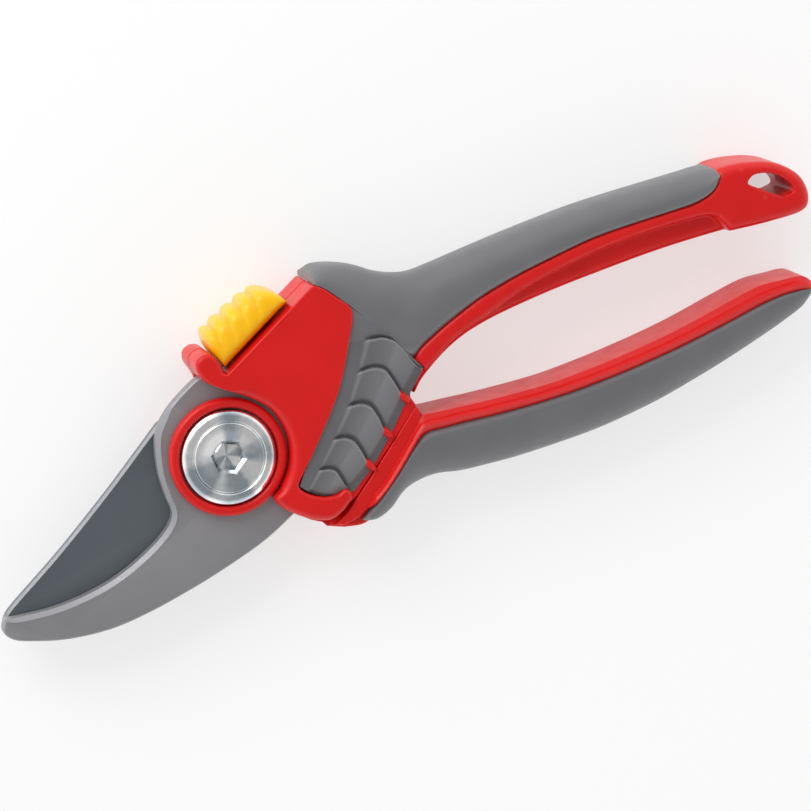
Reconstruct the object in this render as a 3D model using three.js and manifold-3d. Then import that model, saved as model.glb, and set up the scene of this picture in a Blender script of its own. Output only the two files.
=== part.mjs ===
// Bypass pruning shears, closed and locked, lying on their back.
// Millimetres. The origin is on the pivot axis in the plane the shears lie on; +X runs to the handle
// ends, +Y towards the handle with the hanging eye, +Z out of the front face.
import * as THREE from "three";
import { mergeVertices } from "three/addons/utils/BufferGeometryUtils.js";
import Module from "manifold-3d";

const wasm = await Module();
wasm.setup();

// ---------- Driving dimensions ----------
const GAP = 0.3; // between pieces that touch
const GRIP_LENGTH = 84; // of a handle, from the head to where its end begins
const JAW_LENGTH = 49; // from the head to the tips of the jaws

// The stack from the back to the front.
const BACK_INSET = 0.6; // of the housing's back, above the plane the handles lie on
const BACK_WALL = 2.4;
const TONGUE_THICKNESS = 3.2;
const BLADE_THICKNESS = 3.2;
const HOOK_THICKNESS = 4;
const COVER_THICKNESS = 4.9;
const COVER_PROUD = 0.5; // of the cover, above the handles
const PAD_DEPTH = 2.6; // of the soft pad let into the cover
const HANDLE_ROUNDING = 2.4;

// The pivot.
const SHANK_RADIUS = 5;
const BUSH_WALL = 1.7;
const BOLT_HEAD_RADIUS = 11.3;
const BOLT_HEAD_HEIGHT = 3.3;
const SOCKET_ACROSS_FLATS = 6;
const SOCKET_DEPTH = 3.6;
const RING_WIDTH = 2.4;
const RING_HEIGHT = 2.4;
const NUT_ACROSS_FLATS = 16;
const NUT_FLOOR = 1.6;
const WASHER_THICKNESS = 1.5;
const BLADE_HEAD_RADIUS = 14.2;
const STOP_RADIUS = 10.3; // from the pivot axis to the stop pin
const STOP_PIN_RADIUS = 1.1;
const STOP_ANGLE = 100; // degrees from +X
const OPENING = 34; // degrees that the blade lever turns
const SPRING_RADIUS = 11;
const SPRING_WIRE = 1.1;
const SPRING_TURNS = 1.8;

// The fasteners.
const RIVET_RADIUS = 1.8;
const SCREW_RADIUS = 1.3;
const SCREW_HEAD_RADIUS = 2.4;
const SCREW_HEAD_HEIGHT = 1.3;
const SCREW_BITE = 4; // of a screw in the cover
const SCREW_PLACES = [[4.6, 22.3], [34, 24.8], [39.2, 16.5], [44.6, 0.2]];
const HOOK_RIVET_PLACES = [[24.5, 5], [37, 5.6]];
const BLADE_RIVET_PLACES = [[20, -7], [33, -11.5]];

// The lock on the housing's top edge, which rises at LOCK_ANGLE. Its outlines run along and off that edge.
const LOCK_ORIGIN = [10.2, 19.4];
const LOCK_ANGLE = 21;
const LOCK_TRAVEL = 6;
const SLIDER_LENGTH = 21;
const SLIDER_HEIGHT = 8.2;
const SLIDER_INSET = 1.9; // of the slider's sides from the housing's faces
const RIB_COUNT = 5;
const RIB_HEIGHT = 0.9;
const STEM_START = 4;
const STEM_LENGTH = 10;
const STEM_THICKNESS = 1.2;
const STEM_CLEARANCE = 0.5; // under the hook's tang
const LATCH_THICKNESS = 1.2;
const LATCH_PIN_RADIUS = 1;
const LATCH_PIN_PLACE = [8, -5];
const LATCH_REACH = 12.2; // below the top edge

// ---------- Derived sizes ----------
const WALL_TOP = BACK_INSET + BACK_WALL;
const TONGUE_BOTTOM = WALL_TOP + GAP;
const TONGUE_TOP = TONGUE_BOTTOM + TONGUE_THICKNESS;
const BLADE_BOTTOM = TONGUE_TOP + GAP;
const BLADE_TOP = BLADE_BOTTOM + BLADE_THICKNESS;
const HOOK_BOTTOM = BLADE_TOP + GAP;
const HOOK_TOP = HOOK_BOTTOM + HOOK_THICKNESS;
const COVER_BOTTOM = HOOK_TOP + GAP;
const COVER_TOP = COVER_BOTTOM + COVER_THICKNESS;
const HANDLE_TOP = COVER_TOP - COVER_PROUD;
const PAD_BOTTOM = COVER_TOP - GAP - PAD_DEPTH;
const PAD_TOP = COVER_TOP - GAP;
const SHANK_HOLE = SHANK_RADIUS + GAP;
const BUSH_RADIUS = SHANK_HOLE + BUSH_WALL;
const BUSH_HOLE = BUSH_RADIUS + GAP;
const RING_HOLE = BOLT_HEAD_RADIUS + GAP;
const RING_RADIUS = RING_HOLE + RING_WIDTH;
const NUT_RADIUS = NUT_ACROSS_FLATS / 2 / Math.cos(Math.PI / 6);
const WASHER_TOP = BLADE_BOTTOM - GAP;
const NUT_TOP = WASHER_TOP - WASHER_THICKNESS - GAP;
const STEM_TOP = HOOK_BOTTOM - STEM_CLEARANCE;
const STEM_BOTTOM = STEM_TOP - STEM_THICKNESS;
const LATCH_TOP = STEM_BOTTOM - GAP;
const LATCH_BOTTOM = LATCH_TOP - LATCH_THICKNESS;
const HEAD_END = 50; // where the handles begin
const HEAD_FRONT = -16; // where the jaws begin
const GRIP_DRAWN = 84; // the handle outlines below are drawn for this length
const JAW_DRAWN = 49; // and the jaw outlines for this one
const CURVE_STEPS = 2; // straight pieces for each point of a curve
const ROUND_SIDES = 32;
const BEYOND = 60; // reaches past every face, for cutting

// ---------- Outlines ----------
const vector = ([x, y]) => new THREE.Vector2(x, y);

/** Lengthens the drawn handles and jaws to their set lengths. The ends keep their shape and move along. */
function fitted([x, y]) {
  const alongHandle = THREE.MathUtils.clamp((x - HEAD_END) / GRIP_DRAWN, 0, 1);
  const alongJaw = THREE.MathUtils.clamp((HEAD_FRONT - x) / JAW_DRAWN, 0, 1);
  const shift = alongHandle * (GRIP_LENGTH - GRIP_DRAWN) - alongJaw * (JAW_LENGTH - JAW_DRAWN);
  return new THREE.Vector2(x + shift, y);
}

/** A closed outline. Each run is a corner [x, y], or a list of points that one smooth curve passes through. */
function outline(start, ...runs) {
  const shape = new THREE.Shape();
  const first = fitted(start);
  shape.moveTo(first.x, first.y);
  for (const run of runs) {
    if (Array.isArray(run[0])) {
      shape.splineThru(run.map(fitted));
    } else {
      const corner = fitted(run);
      shape.lineTo(corner.x, corner.y);
    }
  }
  shape.closePath();
  return shape;
}

const PIVOT_SIDE = [[9.8, 11.2], [5.2, 15.8], [3.2, 17.8], [2, 19.4]];
const NUB = [[1.6, 22.4], [2.4, 24.4], [4.3, 25.1], [6, 24.2], [6.7, 22.2], [6.8, 17.9]];
const LIP = [[18.6, -23.7], [15.8, -24.2], [12.6, -22.8], [9.2, -20], [6.2, -16.2], [5.6, -13.6], [7.8, -12.4]];
const HOUSING = outline(
  [7.8, -12.4],
  [[11.9, -8.4], [14.3, -3], [14.5, 2.2], [13.2, 6.8], ...PIVOT_SIDE],
  NUB,
  [34, 28.3],
  [[36.4, 26.6], [40.1, 20.5], [43.6, 12], [48.4, 2], [48.8, -2.5]],
  [45, -8.4],
  [22.3, -22],
  LIP,
);

const UPPER_TOP = [
  [38, 31], [41, 29.9], [44, 28.3], [47, 26.1], [50, 23.4], [55, 20.3], [60, 18.9], [80, 17.7], [100, 15.9],
  [120, 12.7], [134, 9.9],
];
const UPPER_END = [[140, 8.7], [147, 5.5], [151.4, 1], [152.7, -3], [152, -6.8], [149, -8.9]];
const UPPER_INSIDE = [[140, -7.5], [130, -5], [115, -2.5], [100, -0.8], [85, 0.5], [70, 0.9], [60, -0.4], [50.5, -4.2]];
const UPPER_HANDLE = outline([46, -7.6], [30, 0], [26, 30], [34, 31], UPPER_TOP, UPPER_END, UPPER_INSIDE);
const UPPER_GRIP = outline(
  [48.8, 2.2],
  [[44, 12], [40.5, 20.5], [37, 26.5], [34.4, 30]],
  [34, 34],
  [60, 34],
  [140, 22],
  [[133, 11], [134, 9.5], [131, 6], [125, 5.3], [110, 7.5], [90, 8.9], [70, 8], [55, 4.8]],
);
const UPPER_WEB = outline(
  [50, 2],
  [[43.5, 21], [50, 17], [60, 14.5], [80, 14], [100, 12.6], [120, 9.6], [128, 8]],
  [128, 2],
  [[100, 4], [70, 4], [52, 0]],
);
const PAD = outline(
  [45.2, 12.4],
  [[40.9, 20.4], [40.7, 19]],
  [[38, 14.5], [30, 3.5], [20, -5.8], [12.2, -12.2]],
  [[11.8, -14], [13.6, -16.4], [17, -18.7], [21.6, -18.8]],
  [23, -20],
  [[28, -17.7], [35, -12.9], [42.6, -6.8], [48.4, -1.8]],
  [48.8, 2.4],
);
const EYE = outline(
  [140, -3],
  [[138.7, 2.6], [141, 5], [144.3, 4.2], [147.4, 1.8], [149.3, -1.2], [149.4, -3.4]],
);

const HOOK_INSIDE = [
  [-60, -12.5], [-52, -14.4], [-44, -15.1], [-36, -14.7], [-28, -12.9], [-21, -10.2], [-17.4, -7], [-16.9, -2],
  [-16, 4], [-13, 11.5], [-8, 15.9], [0, 19.2], [3, 19.4],
];
const HOOK_BELLY = [
  [0, -22.4], [-10, -24], [-20, -25], [-32, -25.5], [-42, -24.9], [-52, -22.4], [-60, -18.8], [-63.4, -16.6],
  [-64.7, -14], [-63.2, -11.4],
];
const HOOK = outline([-63.2, -11.4], HOOK_INSIDE, [6.6, 16.6], [28.4, 25], [40.8, 7.6], [40.6, 2.4], [29, -4.6],
  [15.4, -18.2], [9.4, -19.6], HOOK_BELLY);

const BLADE = outline(
  [-63, -12.2],
  [[-60, -10.3], [-45, -3.9], [-30, 3.3], [-20, 8.5], [-11.2, 13.2]],
  [[-6, 14.2], [0, BLADE_HEAD_RADIUS], [7.1, 12.3], [12.3, 7.1]],
  [16.5, 3.7],
  [40.2, -4.3],
  [36, -15.4],
  [26, -18],
  [[12, -15.2], [4, -13.8], [-4, -13.6], [-10, -12.2], [-14.5, -11.6]],
  [[-24, -15.6], [-34, -18.2], [-44, -18.7], [-54, -16.6], [-61, -13.9]],
);

const TONGUE = outline(
  [12.6, 4.4],
  [45.6, -6.6],
  [44.6, -12],
  [30, -26],
  [15, -25],
  [11, -21.4],
  [8.6, -16],
  [[10.6, -7], [12.7, -1]],
);
const MECHANISM = outline([8, 8.6], [46.6, -5.6], [70, -60], [-30, -60], [-30, 0]);
const LOWER_HEAD = outline(
  [45.4, -11.6],
  [45.1, -9.2],
  [22.6, -22.9],
  [[19, -24.5], [15.8, -25]],
  [14.6, -26],
  [[18, -28], [23, -29.6], [27, -30.3], [30, -29.8], [33, -28], [36.4, -26.9], [40, -26.8], [46, -28.2]],
  [50, -20],
);
const LOWER_CHIN = outline([18, -28], [[15, -26.3], [12, -24], [9.6, -21.2]], [9, -17], [22, -17], [24, -27]);
const LOWER_INSIDE = [
  [50, -12.9], [60, -15.3], [70, -17.5], [80, -19.2], [95, -20.5], [110, -21], [124, -20.5], [132, -20.4],
];
const LOWER_END = [[138, -21.8], [143, -23], [145, -26.4], [141, -30.8]];
const LOWER_OUTSIDE = [[130, -33], [110, -35.2], [95, -35.9], [80, -35], [60, -32], [50, -29.8], [42, -27]];
const LOWER_HANDLE = outline([30, -16], [44.5, -11.4], LOWER_INSIDE, LOWER_END, LOWER_OUTSIDE, [30, -27]);
const LOWER_GRIP = outline(
  [23.6, -27.4],
  [[30, -24.3], [40, -18], [44, -15.8], [50, -16.8], [65, -20.2], [80, -22.8], [100, -24.5], [120, -24.9],
    [136, -24.9], [144.2, -26.2]],
  [150, -27],
  [150, -45],
  [16, -45],
  [20, -31],
);
const LOWER_WEB = outline(
  [46, -16],
  [[60, -22.5], [80, -26], [100, -27.8], [120, -27.6], [134, -26.6]],
  [134, -22.5],
  [[110, -22.4], [80, -21], [50, -14.5]],
);

// ---------- Solids ----------
/** The geometry as a manifold-3d solid. */
function solid(geometry) {
  const bare = geometry.index ? geometry.toNonIndexed() : geometry.clone();
  bare.deleteAttribute("normal");
  bare.deleteAttribute("uv");
  const merged = mergeVertices(bare, 1e-4);
  return new wasm.Manifold(
    new wasm.Mesh({
      numProp: 3,
      vertProperties: new Float32Array(merged.attributes.position.array),
      triVerts: new Uint32Array(merged.index.array),
    }),
  );
}

/** A flat plate of this outline, between two heights. */
function plate(shape, bottom, top, matrix = new THREE.Matrix4()) {
  const options = { depth: top - bottom, bevelEnabled: false, curveSegments: CURVE_STEPS };
  return solid(new THREE.ExtrudeGeometry(shape, options).translate(0, 0, bottom).applyMatrix4(matrix));
}

/** The room a plate needs: its outline and its faces, moved out by the gap. */
function roomFor(shape, bottom, top, gap = GAP, matrix = new THREE.Matrix4()) {
  const options = {
    depth: top - bottom,
    bevelThickness: gap,
    bevelSize: gap,
    bevelSegments: 1,
    curveSegments: CURVE_STEPS,
  };
  return solid(new THREE.ExtrudeGeometry(shape, options).translate(0, 0, bottom).applyMatrix4(matrix));
}

/** A plate whose long edges are rounded on both faces. */
function rounded(shape, bottom, top, radius) {
  const options = {
    depth: top - bottom - 2 * radius,
    bevelThickness: radius,
    bevelSize: radius,
    bevelOffset: -radius,
    bevelSegments: 3,
    curveSegments: CURVE_STEPS,
  };
  return solid(new THREE.ExtrudeGeometry(shape, options).translate(0, 0, bottom + radius));
}

/** An upright cylinder or, with few sides, a prism. */
function post(radius, bottom, top, [x, y] = [0, 0], sides = ROUND_SIDES) {
  const height = top - bottom;
  const geometry = new THREE.CylinderGeometry(radius, radius, height, sides);
  return solid(geometry.rotateX(Math.PI / 2).translate(x, y, bottom + height / 2));
}

/** A body turned about the pivot axis from [radius, height] points. */
function turned(profile, sides = ROUND_SIDES) {
  const points = profile.map(([radius, height]) => new THREE.Vector2(radius, height));
  return solid(new THREE.LatheGeometry(points, sides).rotateX(Math.PI / 2));
}

/** A block between two corners. */
function block([x0, y0, z0], [x1, y1, z1]) {
  const geometry = new THREE.BoxGeometry(x1 - x0, y1 - y0, z1 - z0);
  return solid(geometry.translate((x0 + x1) / 2, (y0 + y1) / 2, (z0 + z1) / 2));
}

/** Cuts each of the tools out of a body. */
function cut(body, ...tools) {
  return tools.reduce((left, tool) => left.subtract(tool), body);
}

/** Joins bodies into one. */
function join(body, ...others) {
  return others.reduce((whole, other) => whole.add(other), body);
}

/** A named mesh of the solid, in its own material. */
function piece(name, body, { color, roughness, metalness }) {
  const { numProp, vertProperties, triVerts } = body.getMesh();
  const positions = new Float32Array((vertProperties.length / numProp) * 3);
  for (let i = 0; i < positions.length / 3; i++) {
    positions.set(vertProperties.subarray(i * numProp, i * numProp + 3), i * 3);
  }
  const geometry = new THREE.BufferGeometry();
  geometry.setAttribute("position", new THREE.BufferAttribute(positions, 3));
  geometry.setIndex(new THREE.BufferAttribute(new Uint32Array(triVerts), 1));
  const faceted = geometry.toNonIndexed();
  faceted.computeVertexNormals();
  const mesh = new THREE.Mesh(faceted, new THREE.MeshStandardMaterial({ color, roughness, metalness }));
  mesh.name = name;
  return mesh;
}

// ---------- Finishes ----------
const FINISH = {
  redNylon: { color: 0xc4161b, roughness: 0.38, metalness: 0 },
  greyRubber: { color: 0x67686b, roughness: 0.62, metalness: 0 },
  yellowNylon: { color: 0xffc400, roughness: 0.35, metalness: 0 },
  hookSteel: { color: 0x7d7e82, roughness: 0.55, metalness: 0.6 },
  coatedSteel: { color: 0x4b535c, roughness: 0.4, metalness: 0.55 },
  zincSteel: { color: 0xc3c8cc, roughness: 0.28, metalness: 0.95 },
  springSteel: { color: 0x8a8d90, roughness: 0.35, metalness: 0.9 },
};

// ---------- Pivot ----------
function pivotBolt() {
  const top = COVER_BOTTOM + BOLT_HEAD_HEIGHT;
  const step = BOLT_HEAD_RADIUS - 3;
  const body = turned([
    [0, NUT_FLOOR + GAP],
    [SHANK_RADIUS, NUT_FLOOR + GAP],
    [SHANK_RADIUS, COVER_BOTTOM],
    [BOLT_HEAD_RADIUS, COVER_BOTTOM],
    [BOLT_HEAD_RADIUS, top - 1.2],
    [BOLT_HEAD_RADIUS - 0.8, top - 0.4],
    [step, top],
    [step - 0.2, top - 0.4],
    [step / 2, top - 1.1],
    [0, top - 1.2],
  ]);
  const socketRadius = SOCKET_ACROSS_FLATS / 2 / Math.cos(Math.PI / 6);
  return cut(body, post(socketRadius, top - 1.2 - SOCKET_DEPTH, top + 1, [0, 0], 6));
}

function pivotRing() {
  const top = COVER_BOTTOM + RING_HEIGHT;
  return turned([
    [RING_HOLE, COVER_BOTTOM],
    [RING_RADIUS, COVER_BOTTOM],
    [RING_RADIUS, top - 1],
    [RING_RADIUS - 0.5, top - 0.2],
    [(RING_HOLE + RING_RADIUS) / 2, top],
    [RING_HOLE + 0.4, top - 0.2],
    [RING_HOLE, top - 0.7],
    [RING_HOLE, COVER_BOTTOM],
  ], 48);
}

function pivotNut() {
  return cut(post(NUT_RADIUS, 0, NUT_TOP, [0, 0], 6), post(SHANK_HOLE, NUT_FLOOR, NUT_TOP + 1));
}

/** The return spring's coil round the pivot, between the housing's back wall and the blade. */
function returnSpring() {
  const section = new THREE.Shape().absarc(0, 0, SPRING_WIRE / 2, 0, 2 * Math.PI);
  const middle = (TONGUE_BOTTOM + TONGUE_TOP) / 2;
  const rise = SPRING_TURNS * (SPRING_WIRE + GAP / 2);
  const points = [];
  for (let i = 0; i <= 20; i++) {
    const angle = (i / 20) * SPRING_TURNS * 2 * Math.PI;
    const height = middle + (i / 20 - 0.5) * rise;
    points.push(new THREE.Vector3(SPRING_RADIUS * Math.cos(angle), SPRING_RADIUS * Math.sin(angle), height));
  }
  const options = { steps: 44, curveSegments: 4, bevelEnabled: false, extrudePath: new THREE.CatmullRomCurve3(points) };
  return solid(new THREE.ExtrudeGeometry(section, options));
}

const stopPlace = [
  STOP_RADIUS * Math.cos(THREE.MathUtils.degToRad(STOP_ANGLE)),
  STOP_RADIUS * Math.sin(THREE.MathUtils.degToRad(STOP_ANGLE)),
];

/** The slot in the blade that the stop pin runs in, longer than the opening by the pin and its clearance. */
function stopSlot() {
  const margin = (STOP_PIN_RADIUS + 2 * GAP) / STOP_RADIUS;
  const from = THREE.MathUtils.degToRad(STOP_ANGLE) - margin;
  const to = THREE.MathUtils.degToRad(STOP_ANGLE + OPENING) + margin;
  const half = STOP_PIN_RADIUS + GAP;
  const shape = new THREE.Shape();
  shape.absarc(0, 0, STOP_RADIUS + half, from, to, false);
  shape.absarc(0, 0, STOP_RADIUS - half, to, from, true);
  shape.closePath();
  const options = { depth: BLADE_THICKNESS + 2, bevelEnabled: false, curveSegments: 10 };
  return solid(new THREE.ExtrudeGeometry(shape, options).translate(0, 0, BLADE_BOTTOM - 1));
}

// ---------- Lock ----------
const lock = new THREE.Group();
lock.position.set(LOCK_ORIGIN[0], LOCK_ORIGIN[1], 0);
lock.rotation.z = THREE.MathUtils.degToRad(LOCK_ANGLE);
lock.updateMatrix();

/** The slider's side view, with its ribs along the crown. */
function sliderOutline() {
  const shape = new THREE.Shape();
  const start = -1.6;
  const end = start + SLIDER_LENGTH;
  shape.moveTo(start + 1.6, GAP);
  shape.splineThru([[start, 3], [start + 1, 7], [start + 3.6, SLIDER_HEIGHT + 1.6]].map(vector));
  const pitch = (SLIDER_LENGTH - 6.6) / RIB_COUNT;
  for (let i = 0; i < RIB_COUNT; i++) {
    const x = start + 3.6 + i * pitch;
    const crown = SLIDER_HEIGHT + 1.6 - 2.6 * ((i + 1) / RIB_COUNT) ** 2;
    shape.quadraticCurveTo(x + pitch / 2, crown + 2 * RIB_HEIGHT, x + pitch, crown);
  }
  shape.splineThru([[end - 1, 4], [end, 2.2], [end - 0.6, GAP]].map(vector));
  shape.closePath();
  return shape;
}

const rectangle = (x0, y0, x1, y1) => new THREE.Shape([[x0, y0], [x1, y0], [x1, y1], [x0, y1]].map(vector));
const STEM = rectangle(STEM_START, -7, STEM_START + STEM_LENGTH, 1);
const LATCH = new THREE.Shape(
  [[4.4, -3], [11.6, -3], [11.6, -9.4], [7, -LATCH_REACH], [4.4, -LATCH_REACH]].map(vector),
);
const CHANNEL = rectangle(STEM_START - 0.8, -LATCH_REACH - 2.6, STEM_START + STEM_LENGTH + LOCK_TRAVEL + 1, 3);

function lockSlider() {
  const thumb = plate(sliderOutline(), BACK_INSET + SLIDER_INSET, COVER_TOP - SLIDER_INSET);
  const body = join(thumb, plate(STEM, STEM_BOTTOM, STEM_TOP));
  return cut(body, post(LATCH_PIN_RADIUS + GAP, STEM_BOTTOM - 1, STEM_TOP + 1, LATCH_PIN_PLACE, 16));
}

function lockLatch() {
  const hole = post(LATCH_PIN_RADIUS + GAP, LATCH_BOTTOM - 1, LATCH_TOP + 1, LATCH_PIN_PLACE, 16);
  return cut(plate(LATCH, LATCH_BOTTOM, LATCH_TOP), hole);
}

/** A bowed leaf under the latch that holds the slider at either end of its travel. */
function detentSpring() {
  const shape = new THREE.Shape();
  const foot = -LATCH_REACH - 2;
  shape.moveTo(STEM_START, foot);
  shape.quadraticCurveTo(STEM_START + 7, foot + 2.6, STEM_START + 14, foot);
  shape.lineTo(STEM_START + 14, foot - 0.4);
  shape.quadraticCurveTo(STEM_START + 7, foot + 2, STEM_START, foot - 0.4);
  shape.closePath();
  const options = { depth: STEM_TOP - LATCH_BOTTOM, bevelEnabled: false, curveSegments: 8 };
  return solid(new THREE.ExtrudeGeometry(shape, options).translate(0, 0, LATCH_BOTTOM));
}

// ---------- Root lever: hook jaw, housing and upper handle ----------
const hookRivetHoles = (gap) =>
  HOOK_RIVET_PLACES.map((place) => post(RIVET_RADIUS + gap, TONGUE_BOTTOM + 1, HOOK_TOP + 1, place, 16));

function hookJaw() {
  return cut(
    plate(HOOK, HOOK_BOTTOM, HOOK_TOP),
    post(BUSH_HOLE, HOOK_BOTTOM - 1, HOOK_TOP + 1),
    post(STOP_PIN_RADIUS + GAP, HOOK_BOTTOM - 1, HOOK_TOP + 1, stopPlace, 16),
    ...hookRivetHoles(GAP),
  );
}

const screwHoles = () =>
  SCREW_PLACES.flatMap((place) => [
    post(SCREW_RADIUS + GAP, BACK_INSET - 1, HOOK_BOTTOM + SCREW_BITE + GAP, place, 16),
    post(SCREW_HEAD_RADIUS + GAP, BACK_INSET - 1, BACK_INSET + SCREW_HEAD_HEIGHT + GAP, place, 16),
  ]);

function coverScrew() {
  const shank = post(SCREW_RADIUS, BACK_INSET, HOOK_BOTTOM + SCREW_BITE, [0, 0], 16);
  const head = post(SCREW_HEAD_RADIUS, BACK_INSET, BACK_INSET + SCREW_HEAD_HEIGHT, [0, 0], 16);
  return join(shank, head);
}

function upperHandle() {
  return rounded(UPPER_HANDLE, 0, HANDLE_TOP, HANDLE_ROUNDING);
}

const webBottom = HANDLE_TOP / 2 - 2.5;
const webTop = HANDLE_TOP / 2 + 2.5;

function upperCore() {
  const bearing = post(BLADE_HEAD_RADIUS + GAP, BACK_INSET, WALL_TOP);
  const head = cut(
    join(plate(HOUSING, BACK_INSET, BLADE_TOP), bearing),
    plate(MECHANISM, WALL_TOP, BLADE_TOP + 1),
    post(BLADE_HEAD_RADIUS + 2 * GAP, WALL_TOP, BLADE_TOP + 1, [0, 0], 48),
    plate(CHANNEL, LATCH_BOTTOM - GAP, BLADE_TOP + 1, lock.matrix),
    ...hookRivetHoles(GAP),
  );
  const frontRoom = block([-BEYOND, -BEYOND, BLADE_TOP], [HEAD_END - 0.9, BEYOND, BEYOND]);
  const grip = roomFor(UPPER_GRIP, -BEYOND, BEYOND);
  const headRoom = block([-BEYOND, -BEYOND, -BEYOND], [HEAD_END - 3, BEYOND, BEYOND]);
  const handle = cut(upperHandle(), frontRoom, headRoom, grip);
  const web = plate(UPPER_WEB, webBottom, webTop);
  const webBehindCover = cut(web, frontRoom);
  const stopMechanism = plate(MECHANISM, WALL_TOP, BLADE_TOP + 1);
  const whole = join(head, cut(join(handle, webBehindCover), stopMechanism));
  return cut(
    whole,
    plate(EYE, -1, HANDLE_TOP + 1),
    post(NUT_RADIUS + GAP, BACK_INSET - 1, WALL_TOP + 1),
    ...screwHoles(),
  );
}

function frontCover() {
  return cut(
    plate(HOUSING, HOOK_BOTTOM, COVER_TOP),
    roomFor(HOOK, HOOK_BOTTOM, HOOK_TOP),
    roomFor(PAD, PAD_BOTTOM, COVER_TOP + 1),
    roomFor(UPPER_GRIP, -BEYOND, BEYOND),
    post(RING_RADIUS + GAP, HOOK_TOP, COVER_TOP + 1, [0, 0], 48),
    ...screwHoles(),
  );
}

function upperGrip() {
  const webRoom = roomFor(UPPER_WEB, webBottom, webTop);
  const shell = cut(upperHandle().intersect(plate(UPPER_GRIP, -1, HANDLE_TOP + 1)), webRoom);
  return join(shell, plate(PAD, PAD_BOTTOM, PAD_TOP));
}

// ---------- Blade lever: blade and lower handle ----------
const bladeRivetHoles = () =>
  BLADE_RIVET_PLACES.map((place) => post(RIVET_RADIUS + GAP, TONGUE_BOTTOM - 1, BLADE_TOP + 1, place, 16));

function cuttingBlade() {
  return cut(
    plate(BLADE, BLADE_BOTTOM, BLADE_TOP),
    post(BUSH_HOLE, BLADE_BOTTOM - 1, BLADE_TOP + 1),
    stopSlot(),
    ...bladeRivetHoles(),
  );
}

function lowerHandle() {
  const headRoom = block([-BEYOND, -BEYOND, -BEYOND], [HEAD_END - 6, BEYOND, BEYOND]);
  const handle = cut(rounded(LOWER_HANDLE, 0, HANDLE_TOP, HANDLE_ROUNDING), headRoom);
  return join(handle, plate(LOWER_HEAD, BACK_INSET, HANDLE_TOP - 2));
}

function lowerCore() {
  const outer = cut(lowerHandle(), roomFor(LOWER_GRIP, -BEYOND, BEYOND));
  const tongue = plate(TONGUE, TONGUE_BOTTOM, TONGUE_TOP);
  const chin = plate(LOWER_CHIN, TONGUE_BOTTOM, BLADE_TOP);
  const web = plate(LOWER_WEB, webBottom, webTop);
  return cut(
    join(outer, tongue, chin, web),
    roomFor(BLADE, BLADE_BOTTOM, BLADE_TOP),
    ...bladeRivetHoles(),
  );
}

function lowerGrip() {
  const sleeve = lowerHandle().intersect(plate(LOWER_GRIP, -1, HANDLE_TOP + 1));
  return cut(sleeve, roomFor(LOWER_WEB, webBottom, webTop), roomFor(TONGUE, TONGUE_BOTTOM, TONGUE_TOP));
}

// ---------- Assembly ----------
/** The same small body at each place, named with a number. */
function repeated(name, makeBody, places, finish) {
  return places.map((place, i) => {
    const mesh = piece(name + "_" + (i + 1), makeBody(), finish);
    mesh.position.set(place[0], place[1], 0);
    return mesh;
  });
}

lock.add(
  piece("lock_slider", lockSlider(), FINISH.yellowNylon),
  piece("lock_latch", lockLatch(), FINISH.zincSteel),
  piece("lock_latch_pin", post(LATCH_PIN_RADIUS, LATCH_BOTTOM, STEM_TOP, LATCH_PIN_PLACE, 16), FINISH.zincSteel),
);

const detent = new THREE.Group();
detent.position.copy(lock.position);
detent.rotation.copy(lock.rotation);
detent.add(piece("lock_detent_spring", detentSpring(), FINISH.springSteel));

const pivot = new THREE.Group();
pivot.add(
  piece("pivot_bolt", pivotBolt(), FINISH.zincSteel),
  piece("pivot_ring", pivotRing(), FINISH.redNylon),
  piece("pivot_bush", cut(post(BUSH_RADIUS, BLADE_BOTTOM, HOOK_TOP), post(SHANK_HOLE, 0, COVER_TOP)), FINISH.zincSteel),
  piece(
    "pivot_washer",
    cut(post(NUT_ACROSS_FLATS / 2, WASHER_TOP - WASHER_THICKNESS, WASHER_TOP), post(SHANK_HOLE, 0, COVER_TOP)),
    FINISH.zincSteel,
  ),
  piece("pivot_nut", pivotNut(), FINISH.zincSteel),
  piece("stop_pin", post(STOP_PIN_RADIUS, BLADE_BOTTOM, HOOK_TOP, stopPlace, 16), FINISH.zincSteel),
);

const rootLever = new THREE.Group();
rootLever.add(
  piece("hook_jaw", hookJaw(), FINISH.hookSteel),
  piece("upper_core", upperCore(), FINISH.redNylon),
  piece("front_cover", frontCover(), FINISH.redNylon),
  piece("upper_grip", upperGrip(), FINISH.greyRubber),
  ...repeated(
    "hook_rivet",
    () => post(RIVET_RADIUS, TONGUE_BOTTOM + 1 + GAP, HOOK_TOP, [0, 0], 16),
    HOOK_RIVET_PLACES,
    FINISH.zincSteel,
  ),
  ...repeated("cover_screw", coverScrew, SCREW_PLACES, FINISH.zincSteel),
  pivot,
  detent,
);

const bladeLever = new THREE.Group();
bladeLever.add(
  piece("cutting_blade", cuttingBlade(), FINISH.coatedSteel),
  piece("lower_core", lowerCore(), FINISH.redNylon),
  piece("lower_grip", lowerGrip(), FINISH.greyRubber),
  piece("return_spring", returnSpring(), FINISH.springSteel),
  ...repeated(
    "blade_rivet",
    () => post(RIVET_RADIUS, TONGUE_BOTTOM, BLADE_TOP, [0, 0], 16),
    BLADE_RIVET_PLACES,
    FINISH.zincSteel,
  ),
);

const group = new THREE.Group();
group.add(rootLever, bladeLever, lock);

export default group;
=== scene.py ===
"""The looks of a pair of bypass pruning shears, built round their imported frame."""

import enum
import functools
import logging
import math
from dataclasses import dataclass, field
from typing import Callable, Iterable, Sequence

import bmesh
import bpy
from mathutils import Matrix, Vector


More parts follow.
